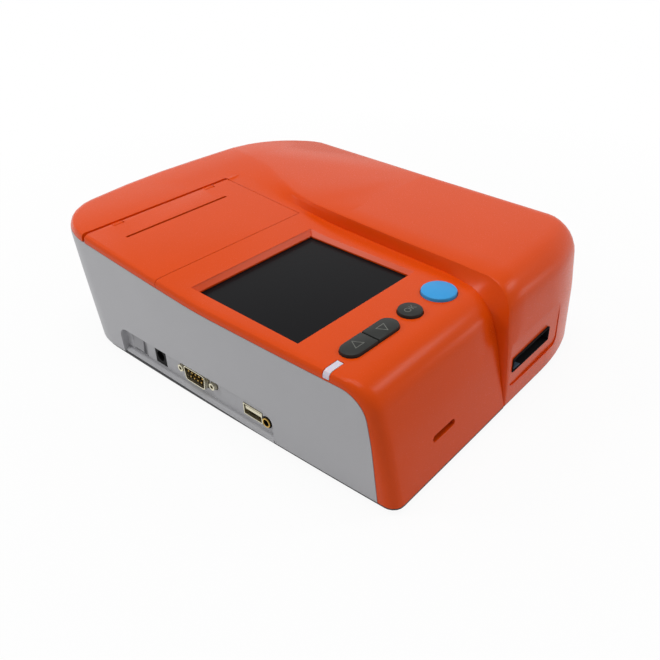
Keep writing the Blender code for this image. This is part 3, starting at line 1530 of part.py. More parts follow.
def make_tray(shop, looks):
    """Cartridge tray: pocketed tongue and a crossbar that runs on the rods and the screw."""
    middle, front = tray_middle(), tray_front()
    tray = shop.node("cartridge_tray", block(middle - tray_width / 2, middle + tray_width / 2, front,
                                             front + tray_length, tray_level,
                                             tray_level + tray_thickness), looks["slate"])
    bar_back = front + tray_length
    level = screw_level()
    margin = crossbar_margin
    shop.add(tray, block(guide_rod_left - margin, guide_rod_right + margin, bar_back - crossbar_length,
                         bar_back, level - crossbar_height / 2, level + crossbar_height / 2), "crossbar")
    pocket_front = front + wall * 1.6
    top = tray_level + tray_thickness
    shop.cut(tray, block(middle - tray_pocket_width / 2, middle + tray_pocket_width / 2, pocket_front,
                         pocket_front + tray_pocket_length, top - tray_pocket_depth, top + cut_over * 2),
             "pocket")
    for x, radius in ((guide_rod_left, guide_rod_diameter / 2), (guide_rod_right, guide_rod_diameter / 2),
                      (drive_screw_x, drive_screw_diameter / 2)):
        shop.cut(tray, along_y(radius + shaft_clearance, x, level, bar_back - crossbar_length - cut_over,
                               bar_back + cut_over, 20), "bore")


def make_drive(shop, looks):
    """Lead screw and the stepper motor behind the reader frame."""
    left, right, front, back = reader_box()
    level = screw_level()
    start = front + reader_plate_thickness / 2 + seat_gap
    motor_front = back + 2 * seat_gap
    shop.node("lead_screw", along_y(drive_screw_diameter / 2, drive_screw_x, level, start,
                                    motor_front - seat_gap, 20), looks["steel"],
              Vector((drive_screw_x, start, level)))
    half = drive_motor_size / 2
    motor = shop.node("tray_motor", block(drive_screw_x - half, drive_screw_x + half, motor_front,
                                          motor_front + drive_motor_length, level - half, level + half),
                      looks["charcoal"])
    shop.add(motor, block(drive_screw_x - half, drive_screw_x + half, motor_front + drive_motor_length / 2,
                          motor_front + drive_motor_length, plate_top + seat_gap, level), "mount")


def make_optics(shop, looks):
    """Optics head on the bridge over the tray, with its lens barrel pointing down."""
    left, right, front, back = reader_box()
    y = front_y + optics_front
    head = shop.node("optics_head", block(left, right, y, y + optics_length, optics_flange_level,
                                          optics_flange_level + optics_flange), looks["charcoal"])
    middle = tray_middle()
    sunk = optics_flange_level + optics_flange / 2
    shop.add(head, block(middle - optics_width / 2, middle + optics_width / 2, y + wall,
                         y + optics_length - wall, sunk, optics_flange_level + optics_height), "body")
    shop.add(head, upright(lens_barrel_diameter / 2, middle, y + optics_length / 2,
                           optics_flange_level - lens_barrel_length, sunk, 24), "barrel")


def finishes():
    return {"orange": material("orange_abs", (0.72, 0.098, 0.018), 0.38),
            "grey": material("grey_abs", (0.36, 0.36, 0.37), 0.45),
            "dark": material("dark_sheet", (0.02, 0.02, 0.022), 0.5),
            "charcoal": material("charcoal_plastic", (0.045, 0.047, 0.045), 0.55),
            "blue": material("blue_key", (0.06, 0.36, 0.76), 0.4),
            "glass": material("screen_glass", (0.012, 0.012, 0.014), 0.12),
            "pipe": material("light_pipe_clear", (0.68, 0.64, 0.74), 0.3),
            "rubber": material("black_rubber", (0.02, 0.02, 0.02), 0.8),
            "steel": material("bright_steel", (0.6, 0.6, 0.6), 0.3, 1.0),
            "nickel": material("nickel_shell", (0.62, 0.6, 0.54), 0.3, 1.0),
            "nylon": material("white_nylon", (0.75, 0.74, 0.7), 0.45),
            "board": material("green_board", (0.02, 0.16, 0.07), 0.5),
            "aluminium": material("milled_aluminium", (0.7, 0.7, 0.71), 0.35, 1.0),
            "slate": material("slate_plastic", (0.12, 0.16, 0.22), 0.4)}


def main():
    clear_scene()
    shop = Shop()
    looks = finishes()
    make_cover(shop, looks)
    make_housing(shop, looks)
    make_plate(shop, looks)
    make_fasteners(shop, looks)
    make_door(shop, looks)
    make_display(shop, looks)
    make_keys(shop, looks)
    make_front_fittings(shop, looks)
    make_printer(shop, looks)
    make_sockets(shop, looks)
    make_reader(shop, looks)


if __name__ == "__main__":
    main()
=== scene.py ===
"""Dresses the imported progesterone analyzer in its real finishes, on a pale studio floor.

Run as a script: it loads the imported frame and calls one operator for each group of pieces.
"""
import json
from math import cos, pi, radians, sin

import bmesh
import bpy
from mathutils import Matrix, Vector


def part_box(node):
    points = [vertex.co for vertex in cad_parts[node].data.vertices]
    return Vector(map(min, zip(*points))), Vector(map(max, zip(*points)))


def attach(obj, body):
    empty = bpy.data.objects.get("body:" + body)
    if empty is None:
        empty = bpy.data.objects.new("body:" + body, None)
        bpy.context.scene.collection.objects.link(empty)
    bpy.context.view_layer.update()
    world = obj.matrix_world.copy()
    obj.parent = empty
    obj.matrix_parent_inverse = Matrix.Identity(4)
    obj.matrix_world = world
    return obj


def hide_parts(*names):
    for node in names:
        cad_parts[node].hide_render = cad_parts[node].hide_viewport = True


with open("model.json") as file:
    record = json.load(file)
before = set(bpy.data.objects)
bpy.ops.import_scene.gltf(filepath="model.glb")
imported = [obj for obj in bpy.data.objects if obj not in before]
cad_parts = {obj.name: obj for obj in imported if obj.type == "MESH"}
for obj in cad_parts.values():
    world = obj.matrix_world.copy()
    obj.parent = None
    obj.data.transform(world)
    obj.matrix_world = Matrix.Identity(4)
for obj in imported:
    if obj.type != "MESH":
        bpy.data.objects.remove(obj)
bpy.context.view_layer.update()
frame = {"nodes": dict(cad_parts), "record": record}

bl_info = {
    "name": "Progesterone analyzer",
    "version": (1, 0, 0),
    "blender": (4, 5, 0),
    "location": "3D View > Sidebar > Analyzer",
    "description": "Finishes and fine pieces of a benchtop progesterone analyzer",
    "category": "Object",
}

MM = 0.001

# Unit directions of the analyzer
RIGHT = Vector((1, 0, 0))
BACK = Vector((0, 1, 0))
UP = Vector((0, 0, 1))

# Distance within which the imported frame's loose corners are one
merge_reach = 0.002 * MM

# Degrees that an edge turns through before it stays sharp
packed_crease = 30
piece_crease = 32
key_crease = 40
thread_crease = 40

# Cosine above which a face looks in a direction
facing = 0.99

# Edge radii of the dressed pieces
cover_edge = 0.3 * MM
door_edge = 0.2 * MM
glass_edge = 0.15 * MM
cell_edge = 0.3 * MM
key_edge = 0.25 * MM
rocker_edge = 0.2 * MM
head_edge = 0.2 * MM
chip_edge = 0.2 * MM

# Width of the photograph in pixels
photo_size = 660

# Sizes of the patterns in the materials
cloud_size = 35 * MM
streak_size = 5 * MM
smear_size = 18 * MM
haze_size = 1.5 * MM
polish_size = 2 * MM
mask_size = 3 * MM
track_spacing = 14 * MM
relief_depth = 0.02 * MM
gloss_spread = 0.05

# Solder mask in the light, in the shade of the cloth, and over copper
mask_green = "#1C6A40"
mask_shade = "#12502F"
mask_track = "#2E7F4E"


# Colour and node helpers

def linear(code):
    """Turn an sRGB hex colour into linear values with alpha."""
    values = [int(code[place:place + 2], 16) / 255 for place in (1, 3, 5)]
    return [v / 12.92 if v <= 0.04045 else ((v + 0.055) / 1.055) ** 2.4 for v in values] + [1.0]


def add_node(tree, kind, settings=None, links=None):
    """Add one node, set its sockets or properties, and link sockets to it."""
    node = tree.nodes.new(kind)
    for name, value in (settings or {}).items():
        if name in node.inputs:
            node.inputs[name].default_value = value
        else:
            setattr(node, name, value)
    for name, source in (links or {}).items():
        tree.links.new(source, node.inputs[name])
    return node


def start_material(name):
    """A fresh material with its Principled shader and its object coordinates."""
    material = bpy.data.materials.new(name)
    material.use_nodes = True
    tree = material.node_tree
    place = add_node(tree, "ShaderNodeTexCoord").outputs["Object"]
    return material, tree, tree.nodes["Principled BSDF"], place


def noise(tree, place, size, detail=2.0, rough=0.5):
    """Cloudy pattern whose features are about as wide as size."""
    return add_node(tree, "ShaderNodeTexNoise", {"Scale": 1 / size, "Detail": detail, "Roughness": rough},
                    {"Vector": place}).outputs["Fac"]


def span(tree, value, low, high):
    """Stretch a 0 to 1 pattern over a range."""
    return add_node(tree, "ShaderNodeMapRange", {"To Min": low, "To Max": high},
                    {"Value": value}).outputs["Result"]


def relief(tree, shader, height, strength, depth):
    """Let a pattern stand out of the surface by a real depth."""
    bump = add_node(tree, "ShaderNodeBump", {"Strength": strength, "Distance": depth}, {"Height": height})
    tree.links.new(bump.outputs["Normal"], shader.inputs["Normal"])


# Materials

def moulded_plastic(name, colour, roughness, grain=0.5 * MM, texture=0.25, vary=0.03, specular=0.3):
    """Injection-moulded plastic: one body colour, and a satin face from a spark-eroded mould.

    The real grain is about 0.05 mm, drawn here at ten times that so that it shows.
    """
    material, tree, shader, place = start_material(name)
    shade = span(tree, noise(tree, place, cloud_size), 1 - vary, 1 + vary)
    tone = add_node(tree, "ShaderNodeHueSaturation", {"Color": linear(colour)}, {"Value": shade})
    tree.links.new(tone.outputs["Color"], shader.inputs["Base Color"])
    fine = noise(tree, place, grain, 3.0, 0.6)
    gloss = span(tree, fine, roughness - gloss_spread, roughness + gloss_spread)
    tree.links.new(gloss, shader.inputs["Roughness"])
    relief(tree, shader, fine, texture, relief_depth)
    shader.inputs["IOR"].default_value = 1.53
    shader.inputs["Specular IOR Level"].default_value = specular
    return material


def brushed_metal(name, colour, roughness, stretch=(1.0, 1.0, 1.0)):
    """Drawn, ground or plated metal: fine streaks along the piece, or a cloudy plating."""
    material, tree, shader, place = start_material(name)
    turned = add_node(tree, "ShaderNodeMapping", {"Scale": stretch}, {"Vector": place})
    streak = noise(tree, turned.outputs["Vector"], streak_size, 4.0)
    tree.links.new(span(tree, streak, roughness - 0.07, roughness + 0.09), shader.inputs["Roughness"])
    relief(tree, shader, streak, 0.15, relief_depth)
    shader.inputs["Base Color"].default_value = linear(colour)
    shader.inputs["Metallic"].default_value = 1.0
    return material


def screen_glass(name, colour):
    """Anti-reflective cover glass over a dark mask: near black, with faint wipe marks."""
    material, tree, shader, place = start_material(name)
    smear = noise(tree, place, smear_size, 3.0)
    tree.links.new(span(tree, smear, 0.16, 0.24), shader.inputs["Roughness"])
    shader.inputs["Base Color"].default_value = linear(colour)
    shader.inputs["IOR"].default_value = 1.51
    shader.inputs["Specular IOR Level"].default_value = 0.04
    return material


def clear_glass(name, colour):
    """Ground optical glass of the reader's lens: clear and sharp-edged in its reflections."""
    material, tree, shader, place = start_material(name)
    tree.links.new(span(tree, noise(tree, place, polish_size), 0.02, 0.05), shader.inputs["Roughness"])
    shader.inputs["Base Color"].default_value = linear(colour)
    shader.inputs["IOR"].default_value = 1.52
    shader.inputs["Transmission Weight"].default_value = 0.85
    return material


def circuit_laminate(name):
    """Solder mask on glass-cloth laminate, with its copper tracks showing through."""
    material, tree, shader, place = start_material(name)
    tracks = add_node(tree, "ShaderNodeTexBrick",
                      {"Scale": 1 / track_spacing, "Mortar Size": 0.012, "Color1": linear(mask_green),
                       "Color2": linear(mask_shade), "Mortar": linear(mask_track)}, {"Vector": place})
    tree.links.new(tracks.outputs["Color"], shader.inputs["Base Color"])
    tree.links.new(span(tree, noise(tree, place, mask_size), 0.28, 0.4), shader.inputs["Roughness"])
    return material


def soft_rubber(name, colour):
    """Moulded rubber: matt black with a dusty bloom."""
    return moulded_plastic(name, colour, 0.8, 0.8 * MM, 0.5, 0.12)


def frosted_acrylic(name, colour):
    """Frosted acrylic light pipe: milky, and soft where light goes in under the surface."""
    material, tree, shader, place = start_material(name)
    haze = noise(tree, place, haze_size)
    tree.links.new(span(tree, haze, 0.3, 0.42), shader.inputs["Roughness"])
    shader.inputs["Base Color"].default_value = linear(colour)
    shader.inputs["Subsurface Weight"].default_value = 0.3
    shader.inputs["Subsurface Scale"].default_value = 2 * MM
    shader.inputs["IOR"].default_value = 1.49
    return material


def powder_coat(name, colour):
    """Powder-coated sheet steel: low sheen with a fine orange peel."""
    return moulded_plastic(name, colour, 0.55, 1.0 * MM, 0.5, 0.05)


def printed_ink(name, colour):
    """Pad-printed ink: flat and slightly uneven in cover."""
    return moulded_plastic(name, colour, 0.6, 0.3 * MM, 0.2, 0.08)


# Mesh helpers

def finish_piece(name, bm, material, body, replaced=(), sharp=piece_crease):
    """Turn a bmesh into a piece that rides on its body."""
    limit = radians(sharp)
    for edge in bm.edges:
        edge.smooth = len(edge.link_faces) == 2 and edge.calc_face_angle(pi) < limit
    for face in bm.faces:
        face.smooth = True
    mesh = bpy.data.meshes.new(name)
    bm.to_mesh(mesh)
    bm.free()
    piece = bpy.data.objects.new(name, mesh)
    mesh.materials.append(material)
    bpy.context.scene.collection.objects.link(piece)
    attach(piece, body)
    if replaced:
        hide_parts(*replaced)
    return piece


def merged_copy(node):
    """A joined-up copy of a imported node's loose triangles."""
    bm = bmesh.new()
    bm.from_mesh(frame["nodes"][node].data)
    bmesh.ops.remove_doubles(bm, verts=bm.verts, dist=merge_reach)
    bmesh.ops.dissolve_degenerate(bm, edges=bm.edges, dist=merge_reach)
    bm.normal_update()
    return bm


def refine(node, material, body, sharp=packed_crease, bevel=0.0, bm=None):
    """Stand a smooth-shaded, edge-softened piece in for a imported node."""
    bm = bm or merged_copy(node)
    piece = finish_piece("fine_" + node, bm, material, body, (node,), sharp)
    if bevel > 0:
        soften = piece.modifiers.new("soft_edges", "BEVEL")
        soften.width = bevel
        soften.segments = 2
        soften.limit_method = "ANGLE"
        soften.angle_limit = radians(sharp)
        soften.harden_normals = True
    return piece


def flat_block(bm):
    """Clean a boxy copy: join the triangles of each flat face into one."""
    bmesh.ops.dissolve_limit(bm, angle_limit=radians(1), verts=bm.verts, edges=bm.edges)
    return bm


def box_piece(low, high, bevel=0.0):
    """A box between two corners, with its edges rounded."""
    bm = bmesh.new()
    bmesh.ops.create_cube(bm, size=1.0)
    low, high = Vector(low), Vector(high)
    bmesh.ops.scale(bm, vec=high - low, verts=bm.verts)
    bmesh.ops.translate(bm, vec=(low + high) / 2, verts=bm.verts)
    if bevel > 0:
        bmesh.ops.bevel(bm, geom=bm.edges[:], offset=bevel, segments=2, profile=0.5,
                        affect="EDGES", material=-1)
    return bm


def turned(profile, place, axis, steps=28):
    """Spin a profile of (distance along, radius) pairs about an axis through a place."""
    bm = bmesh.new()
    side = axis.orthogonal().normalized()
    verts = [bm.verts.new(place + axis * along + side * radius) for along, radius in profile]
    edges = [bm.edges.new(pair) for pair in zip(verts, verts[1:])]
    bmesh.ops.spin(bm, geom=verts + edges, cent=place, axis=axis, angle=2 * pi, steps=steps,
                   use_merge=True)
    bmesh.ops.remove_doubles(bm, verts=bm.verts, dist=merge_reach)
    bmesh.ops.recalc_face_normals(bm, faces=bm.faces)
    return bm


def end_cap(bm, direction):
    """The flat end of a piece that looks in a direction, joined into one face."""
    level = 0.05 * MM
    reach = max(vert.co.dot(direction) for vert in bm.verts)
    caps = [face for face in bm.faces if face.normal.dot(direction) > facing
            and reach - face.calc_center_median().dot(direction) < level]
    if len(caps) > 1:
        caps = bmesh.ops.dissolve_faces(bm, faces=caps)["region"]
    return caps[0]


def sink(bm, direction, rim, depth):
    """Hollow the flat end of a piece: a rim stays, and the rest is pushed in."""
    cap = end_cap(bm, direction)
    bmesh.ops.inset_individual(bm, faces=[cap], thickness=rim, use_even_offset=True)
    pushed = bmesh.ops.extrude_discrete_faces(bm, faces=[cap])["faces"][0]
    bmesh.ops.translate(bm, vec=-direction * depth, verts=pushed.verts)
    return bm


def join(*parts):
    """Put several closed shapes into one mesh."""
    bm = bmesh.new()
    holder = bpy.data.meshes.new("holder")
    for part in parts:
        part.to_mesh(holder)
        part.free()
        bm.from_mesh(holder)
    bpy.data.meshes.remove(holder)
    return bm


def paint_faces(piece, material, chosen):
    """Give the faces that a test picks a second material."""
    piece.data.materials.append(material)
    for face in piece.data.polygons:
        if chosen(face):
            face.material_index = 1


# Settings

class AnalyzerFinishes(bpy.types.PropertyGroup):
    cover: bpy.props.StringProperty(
        name="Cover colour", description="sRGB hex colour of the cover and the door", default="#DE4A06")
    housing: bpy.props.StringProperty(
        name="Housing colour", description="sRGB hex colour of the side walls", default="#B6B6B9")
    start_key: bpy.props.StringProperty(
        name="Start key colour", description="sRGB hex colour of the round start key", default="#3C9FE0")
    other_keys: bpy.props.StringProperty(
        name="Key colour", description="sRGB hex colour of the dark keys", default="#2A2B29")
    marks: bpy.props.StringProperty(
        name="Mark colour", description="sRGB hex colour of the marks on the dark keys", default="#6E6F69")
    tray: bpy.props.StringProperty(
        name="Tray colour", description="sRGB hex colour of the cartridge tray", default="#55677A")
    cover_roughness: bpy.props.FloatProperty(
        name="Cover roughness", description="Roughness of the moulded cover", default=0.26, min=0.0, max=1.0,
        subtype="FACTOR")


class AnalyzerSizes(bpy.types.PropertyGroup):
    mark_line: bpy.props.FloatProperty(
        name="Mark line", description="Line width of the marks on the keys", default=0.32 * MM,
        subtype="DISTANCE", unit="LENGTH")
    triangle: bpy.props.FloatProperty(
        name="Triangle", description="Radius of the circle round each triangle", default=3.3 * MM,
        subtype="DISTANCE", unit="LENGTH")
    lettering: bpy.props.FloatProperty(
        name="Lettering", description="Height of the letters on the OK key", default=4.6 * MM,
        subtype="DISTANCE", unit="LENGTH")
    screw_lead: bpy.props.FloatProperty(
        name="Screw lead", description="Travel of the tray for one turn of its screw", default=3 * MM,
        subtype="DISTANCE", unit="LENGTH")
    liner_wall: bpy.props.FloatProperty(
        name="Liner wall", description="Wall of the black liner in the cartridge slot", default=0.4 * MM,
        subtype="DISTANCE", unit="LENGTH")


class AnalyzerStage(bpy.types.PropertyGroup):
    camera_place: bpy.props.FloatVectorProperty(
        name="Camera place", description="Where the camera stands", size=3, subtype="TRANSLATION",
        unit="LENGTH", default=(-0.252197, -0.252391, 0.232998))
    camera_azimuth: bpy.props.FloatProperty(
        name="Camera azimuth", description="Turn of the camera about the upright", subtype="ANGLE",
        default=radians(-46.3727))
    camera_elevation: bpy.props.FloatProperty(
        name="Camera elevation", description="Height angle of the camera", subtype="ANGLE",
        default=radians(33.0777))
    camera_roll: bpy.props.FloatProperty(
        name="Camera roll", description="Lean of the camera", subtype="ANGLE", default=radians(-2.3868))
    focal_pixels: bpy.props.FloatProperty(
        name="Focal length", description="Focal length in pixels of a square frame 660 wide",
        default=728.4928)
    centre_pixels: bpy.props.FloatVectorProperty(
        name="Picture centre", description="Middle of the lens in the frame, in pixels", size=2,
        default=(334.987, 328.982))
    top_power: bpy.props.FloatProperty(
        name="Top light", description="Power of the softbox over the analyzer", default=4.1, min=0.0,
        unit="POWER")
    rear_power: bpy.props.FloatProperty(
        name="Rear light", description="Power of the softbox behind the left side", default=2.3, min=0.0,
        unit="POWER")
    front_power: bpy.props.FloatProperty(
        name="Front light", description="Power of the softbox off the right front corner", default=1.2,
        min=0.0, unit="POWER")
    low_power: bpy.props.FloatProperty(
        name="Low light", description="Power of the small lamp near the floor in front", default=0.2,
        min=0.0, unit="POWER")
    surround: bpy.props.FloatProperty(
        name="Surround", description="Strength of the even light from all round", default=0.3, min=0.0)


def finishes():
    return bpy.context.scene.analyzer_finishes


def sizes():
    return bpy.context.scene.analyzer_sizes


# Pieces of the case

def recess_lip(material):
    """Sloped foot of the recess, which hides all but a thin line of the base plate."""
    outer_inset = 0.15 * MM
    panel_overlap = 0.1 * MM
    rear_reach = 5.9 * MM
    front_reach = 3.1 * MM
    foot_rise = 1.95 * MM
    crest_rise = 4.3 * MM
    edge_radius = 2.2 * MM
    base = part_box("base_plate")[0]
    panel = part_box("power_jack")[0].x + panel_overlap
    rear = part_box("power_switch")[1].y + rear_reach
    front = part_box("round_jack")[0].y - front_reach
    foot = base.z + foot_rise
    crest = base.z + crest_rise
    bm = box_piece((base.x + outer_inset, front, foot), (panel, rear, crest))
    outer = [edge for edge in bm.edges
             if all(vert.co.x < panel - MM and vert.co.z > foot + MM for vert in edge.verts)]
    bmesh.ops.bevel(bm, geom=outer, offset=edge_radius, segments=4, profile=0.5, affect="EDGES",
                    material=-1)
    return finish_piece("recess_lip", bm, material, "case")


def screw_with_socket(where, material):
    """Case screw with a socket sunk in its head."""
    socket_rim = 1.2 * MM
    socket_depth = 0.45 * MM
    bm = sink(merged_copy("case_screw_" + where), -UP, socket_rim, socket_depth)
    refine("case_screw_" + where, material, "case", bm=bm)


def foot_with_hollow(where, material):
    """Rubber foot with a shallow hollow in its sole."""
    hollow_rim = 1.6 * MM
    hollow_depth = 0.4 * MM
    bm = sink(merged_copy("foot_" + where), -UP, hollow_rim, hollow_depth)
    refine("foot_" + where, material, "case", bm=bm)


class ANALYZER_OT_case(bpy.types.Operator):
    """Orange cover and printer door, grey housing, base plate, screws and feet"""
    bl_idname = "analyzer.case"
    bl_label = "Case"

    def execute(self, context):
        looks = finishes()
        orange = moulded_plastic("orange_moulded_abs", looks.cover, looks.cover_roughness, specular=0.12)
        grey = moulded_plastic("grey_moulded_abs", looks.housing, 0.45)
        refine("top_cover", orange, "case", bevel=cover_edge)
        refine("printer_door", orange, "door", bevel=door_edge)
        refine("housing", grey, "case")
        refine("base_plate", powder_coat("black_powder_coat", "#2A2A2E"), "case")
        recess_lip(grey)
        steel = brushed_metal("zinc_plated_steel", "#C4C4C2", 0.3)
        rubber = soft_rubber("black_moulded_rubber", "#1C1C1C")
        for where in ("front_left", "front_right", "rear_left", "rear_right"):
            screw_with_socket(where, steel)
            foot_with_hollow(where, rubber)
        refine("door_hinge_pin", steel, "case")
        return {"FINISHED"}


class ANALYZER_OT_screen(bpy.types.Operator):
    """Screen glass and the display cell behind it"""
    bl_idname = "analyzer.screen"
    bl_label = "Screen"

    def execute(self, context):
        refine("display_lens", screen_glass("coated_screen_glass", "#141416"), "case", bevel=glass_edge,
               bm=flat_block(merged_copy("display_lens")))
        refine("display_module", powder_coat("display_cell_frame", "#1E1E20"), "case", bevel=cell_edge,
               bm=flat_block(merged_copy("display_module")))
        return {"FINISHED"}


# Keys

def top_plane(node):
    """Middle and outward direction of a packed key's flat top."""
    lean = 0.5 * MM
    bm = merged_copy(node)
    reach = max(vert.co.z for vert in bm.verts)
    tops = [face for face in bm.faces if face.normal.z > facing
            and reach - face.calc_center_median().z < lean]
    area = sum(face.calc_area() for face in tops)
    middle = sum((face.calc_center_median() * face.calc_area() for face in tops), Vector()) / area
    out = tops[0].normal.copy()
    bm.free()
    return middle, out


def lay_on_key(bm, node):
    """Move a mark, drawn flat about the origin, onto the top of a key."""
    middle, out = top_plane(node)
    along = out.cross(RIGHT).normalized()
    matrix = Matrix((RIGHT, along, out)).transposed().to_4x4()
    matrix.translation = middle
    bmesh.ops.transform(bm, matrix=matrix, verts=bm.verts)
    return bm


def thicken(bm):
    """Give a flat mark its thickness, half of it sunk in the key."""
    thickness = 0.06 * MM
    grown = bmesh.ops.extrude_face_region(bm, geom=bm.faces[:])
    tops = [part for part in grown["geom"] if isinstance(part, bmesh.types.BMVert)]
    bmesh.ops.translate(bm, vec=UP * thickness, verts=tops)
    bmesh.ops.translate(bm, vec=UP * -thickness / 2, verts=bm.verts)
    bmesh.ops.recalc_face_normals(bm, faces=bm.faces)
    return bm


def triangle_mark(node, turn, material, body):
    """Outline triangle, pointing up or down the deck."""
    bm = bmesh.new()
    bmesh.ops.create_circle(bm, cap_ends=True, segments=3, radius=sizes().triangle)
    middle, = bm.faces
    bmesh.ops.inset_individual(bm, faces=[middle], thickness=sizes().mark_line, use_even_offset=True)
    bmesh.ops.delete(bm, geom=[middle], context="FACES")
    peak = max(bm.verts, key=lambda vert: vert.co.length)
    level = pi / 2 - peak.co.to_2d().angle_signed(Vector((1, 0)))
    bmesh.ops.rotate(bm, cent=Vector(), matrix=Matrix.Rotation(level + turn, 3, "Z"), verts=bm.verts)
    return finish_piece("mark_" + node, lay_on_key(thicken(bm), node), material, body)


def letter_mark(node, words, material, body):
    """Plain lettering on a key, its strokes thinned a little on all sides."""
    thinned = 0.05 * MM
    curve = bpy.data.curves.new("mark_" + node, "FONT")
    curve.body = words
    curve.size = sizes().lettering
    curve.align_x = "CENTER"
    curve.align_y = "CENTER"
    curve.offset = -thinned
    holder = bpy.data.objects.new("lettering", curve)
    bpy.context.scene.collection.objects.link(holder)
    graph = bpy.context.evaluated_depsgraph_get()
    mesh = bpy.data.meshes.new_from_object(holder.evaluated_get(graph))
    bm = bmesh.new()
    bm.from_mesh(mesh)
    bpy.data.meshes.remove(mesh)
    bpy.data.objects.remove(holder)
    bmesh.ops.remove_doubles(bm, verts=bm.verts, dist=merge_reach)
    return finish_piece("mark_" + node, lay_on_key(thicken(bm), node), material, body)


class ANALYZER_OT_keys(bpy.types.Operator):
    """Four keys with their marks, the light pipe, the keypad board and the chip socket"""
    bl_idname = "analyzer.keys"
    bl_label = "Keys"

    def execute(self, context):
        looks = finishes()
        blue = moulded_plastic("blue_moulded_key", looks.start_key, 0.38, specular=0.14)
        dark = moulded_plastic("dark_moulded_key", looks.other_keys, 0.4, specular=0.14)
        for node, body, material in (("start_button", "start_key", blue), ("ok_button", "ok_key", dark),
                                     ("up_button", "up_key", dark), ("down_button", "down_key", dark)):
            refine(node, material, body, key_crease, key_edge)
        ink = printed_ink("key_mark_ink", looks.marks)
        triangle_mark("up_button", 0, ink, "up_key")
        triangle_mark("down_button", pi, ink, "down_key")
        letter_mark("ok_button", "OK", ink, "ok_key")
        refine("light_pipe", frosted_acrylic("frosted_acrylic", "#DCD4E0"), "case")
        refine("keypad_board", circuit_laminate("keypad_laminate"), "case")
        refine("chip_socket", moulded_plastic("socket_black_pbt", "#242424", 0.5), "case")
        return {"FINISHED"}


# Connectors

def usb_contacts(material):
    """Four gold contacts on the tongue of the data socket."""
    count = 4
    pitch = 2.3 * MM
    half_width = 0.5 * MM
    near, far = 1.2 * MM, 9 * MM
    sunk, proud = 0.1 * MM, 0.05 * MM
    low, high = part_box("usb_port")
    middle = (low + high) / 2
    level = middle.z - 0.06 * MM
    strips = []
    for place in range(count):
        y = middle.y + (place - (count - 1) / 2) * pitch
        strips.append(box_piece((low.x + near, y - half_width, level - sunk),
                                (low.x + far, y + half_width, level + proud)))
    finish_piece("usb_contacts", join(*strips), material, "case")


def hex_posts(material):
    """Hex posts beside the nine-way connector, each with the hole for its screw."""
    post_rim = 0.9 * MM
    hole_depth = 3.0 * MM
    for node in ("jackscrew_front", "jackscrew_rear"):
        bm = merged_copy(node)
        cap = end_cap(bm, -RIGHT)
        bmesh.ops.subdivide_edges(bm, edges=cap.edges[:], cuts=2, use_grid_fill=False)
        sink(bm, -RIGHT, post_rim, hole_depth)
        refine(node, material, "case", bm=bm)


def jack_ring(node, material, radius, tube):
    """Plated ring round the mouth of a round socket."""
    seat = 0.1 * MM
    low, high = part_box(node)
    place = Vector((low.x, (low.y + high.y) / 2, (low.z + high.z) / 2))
    ring = turned(((seat, radius - tube), (-tube, radius - tube), (-tube, radius), (seat, radius),
                   (seat, radius - tube)), place, RIGHT)
    finish_piece(node + "_ring", ring, material, "case")


class ANALYZER_OT_sockets(bpy.types.Operator):
    """Main board and the connectors along the recess"""
    bl_idname = "analyzer.sockets"
    bl_label = "Sockets"

    def execute(self, context):
        pin_reach = 0.55 * MM
        ring_radius = 2.5 * MM
        ring_wall = 0.6 * MM
        nickel = brushed_metal("nickel_plated_shell", "#D8D2BA", 0.34)
        gold = brushed_metal("gold_plated_contact", "#C9A24A", 0.25)
        black = moulded_plastic("connector_black_pbt", "#0E0E0F", 0.6, specular=0.1)
        rocker = moulded_plastic("rocker_grey_abs", "#9C9C9F", 0.45)
        refine("main_board", circuit_laminate("main_laminate"), "case")
        refine("serial_port", nickel, "case")
        refine("usb_port", nickel, "case")
        hex_posts(nickel)
        usb_contacts(gold)
        pins = refine("serial_pins", black, "case")
        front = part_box("serial_pins")[1].x - pin_reach
        paint_faces(pins, gold, lambda face: face.center.x < front)
        for node in ("round_jack", "power_jack"):
            refine(node, black, "case")
        jack_ring("round_jack", gold, ring_radius, ring_wall)
        refine("power_switch", rocker, "case")
        refine("power_rocker", rocker, "rocker", bevel=rocker_edge)
        board_parts(black, nickel)
        return {"FINISHED"}


def board_parts(black, nickel):
    """Chips and round capacitors on the main board."""
    chip_height = 1.4 * MM
    can_height = 4 * MM
    can_shoulder = 3.6 * MM
    can_top_share = 0.9
    can_sides = 20
    low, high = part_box("main_board")
    top = high.z
    # Millimetres across and back from the board's corner, then width and depth
    chip_places = ((30, 20, 14, 14), (50, 18, 10, 7), (50, 34, 8, 8), (28, 50, 9, 6), (46, 56, 12, 10),
                   (62, 50, 5, 5))
    chips = []
    for across, back, wide, deep in chip_places:
        corner = Vector((low.x + across * MM, low.y + back * MM, top))
        size = Vector((wide * MM, deep * MM, chip_height))
        chips.append(box_piece(corner, corner + size, chip_edge))
    finish_piece("board_chips", join(*chips), black, "case")
    # Millimetres across and back, then radius
    can_places = ((68, 12, 2.5), (68, 20, 2.5), (20, 66, 3.2), (38, 70, 2.0))
    cans = []
    for across, back, radius in can_places:
        place = Vector((low.x + across * MM, low.y + back * MM, top))
        side = radius * MM
        cans.append(turned(((0, 0), (0, side), (can_shoulder, side), (can_height, side * can_top_share),
                            (can_height, 0)), place, UP, can_sides))
    finish_piece("board_capacitors", join(*cans), nickel, "case")


# Printer

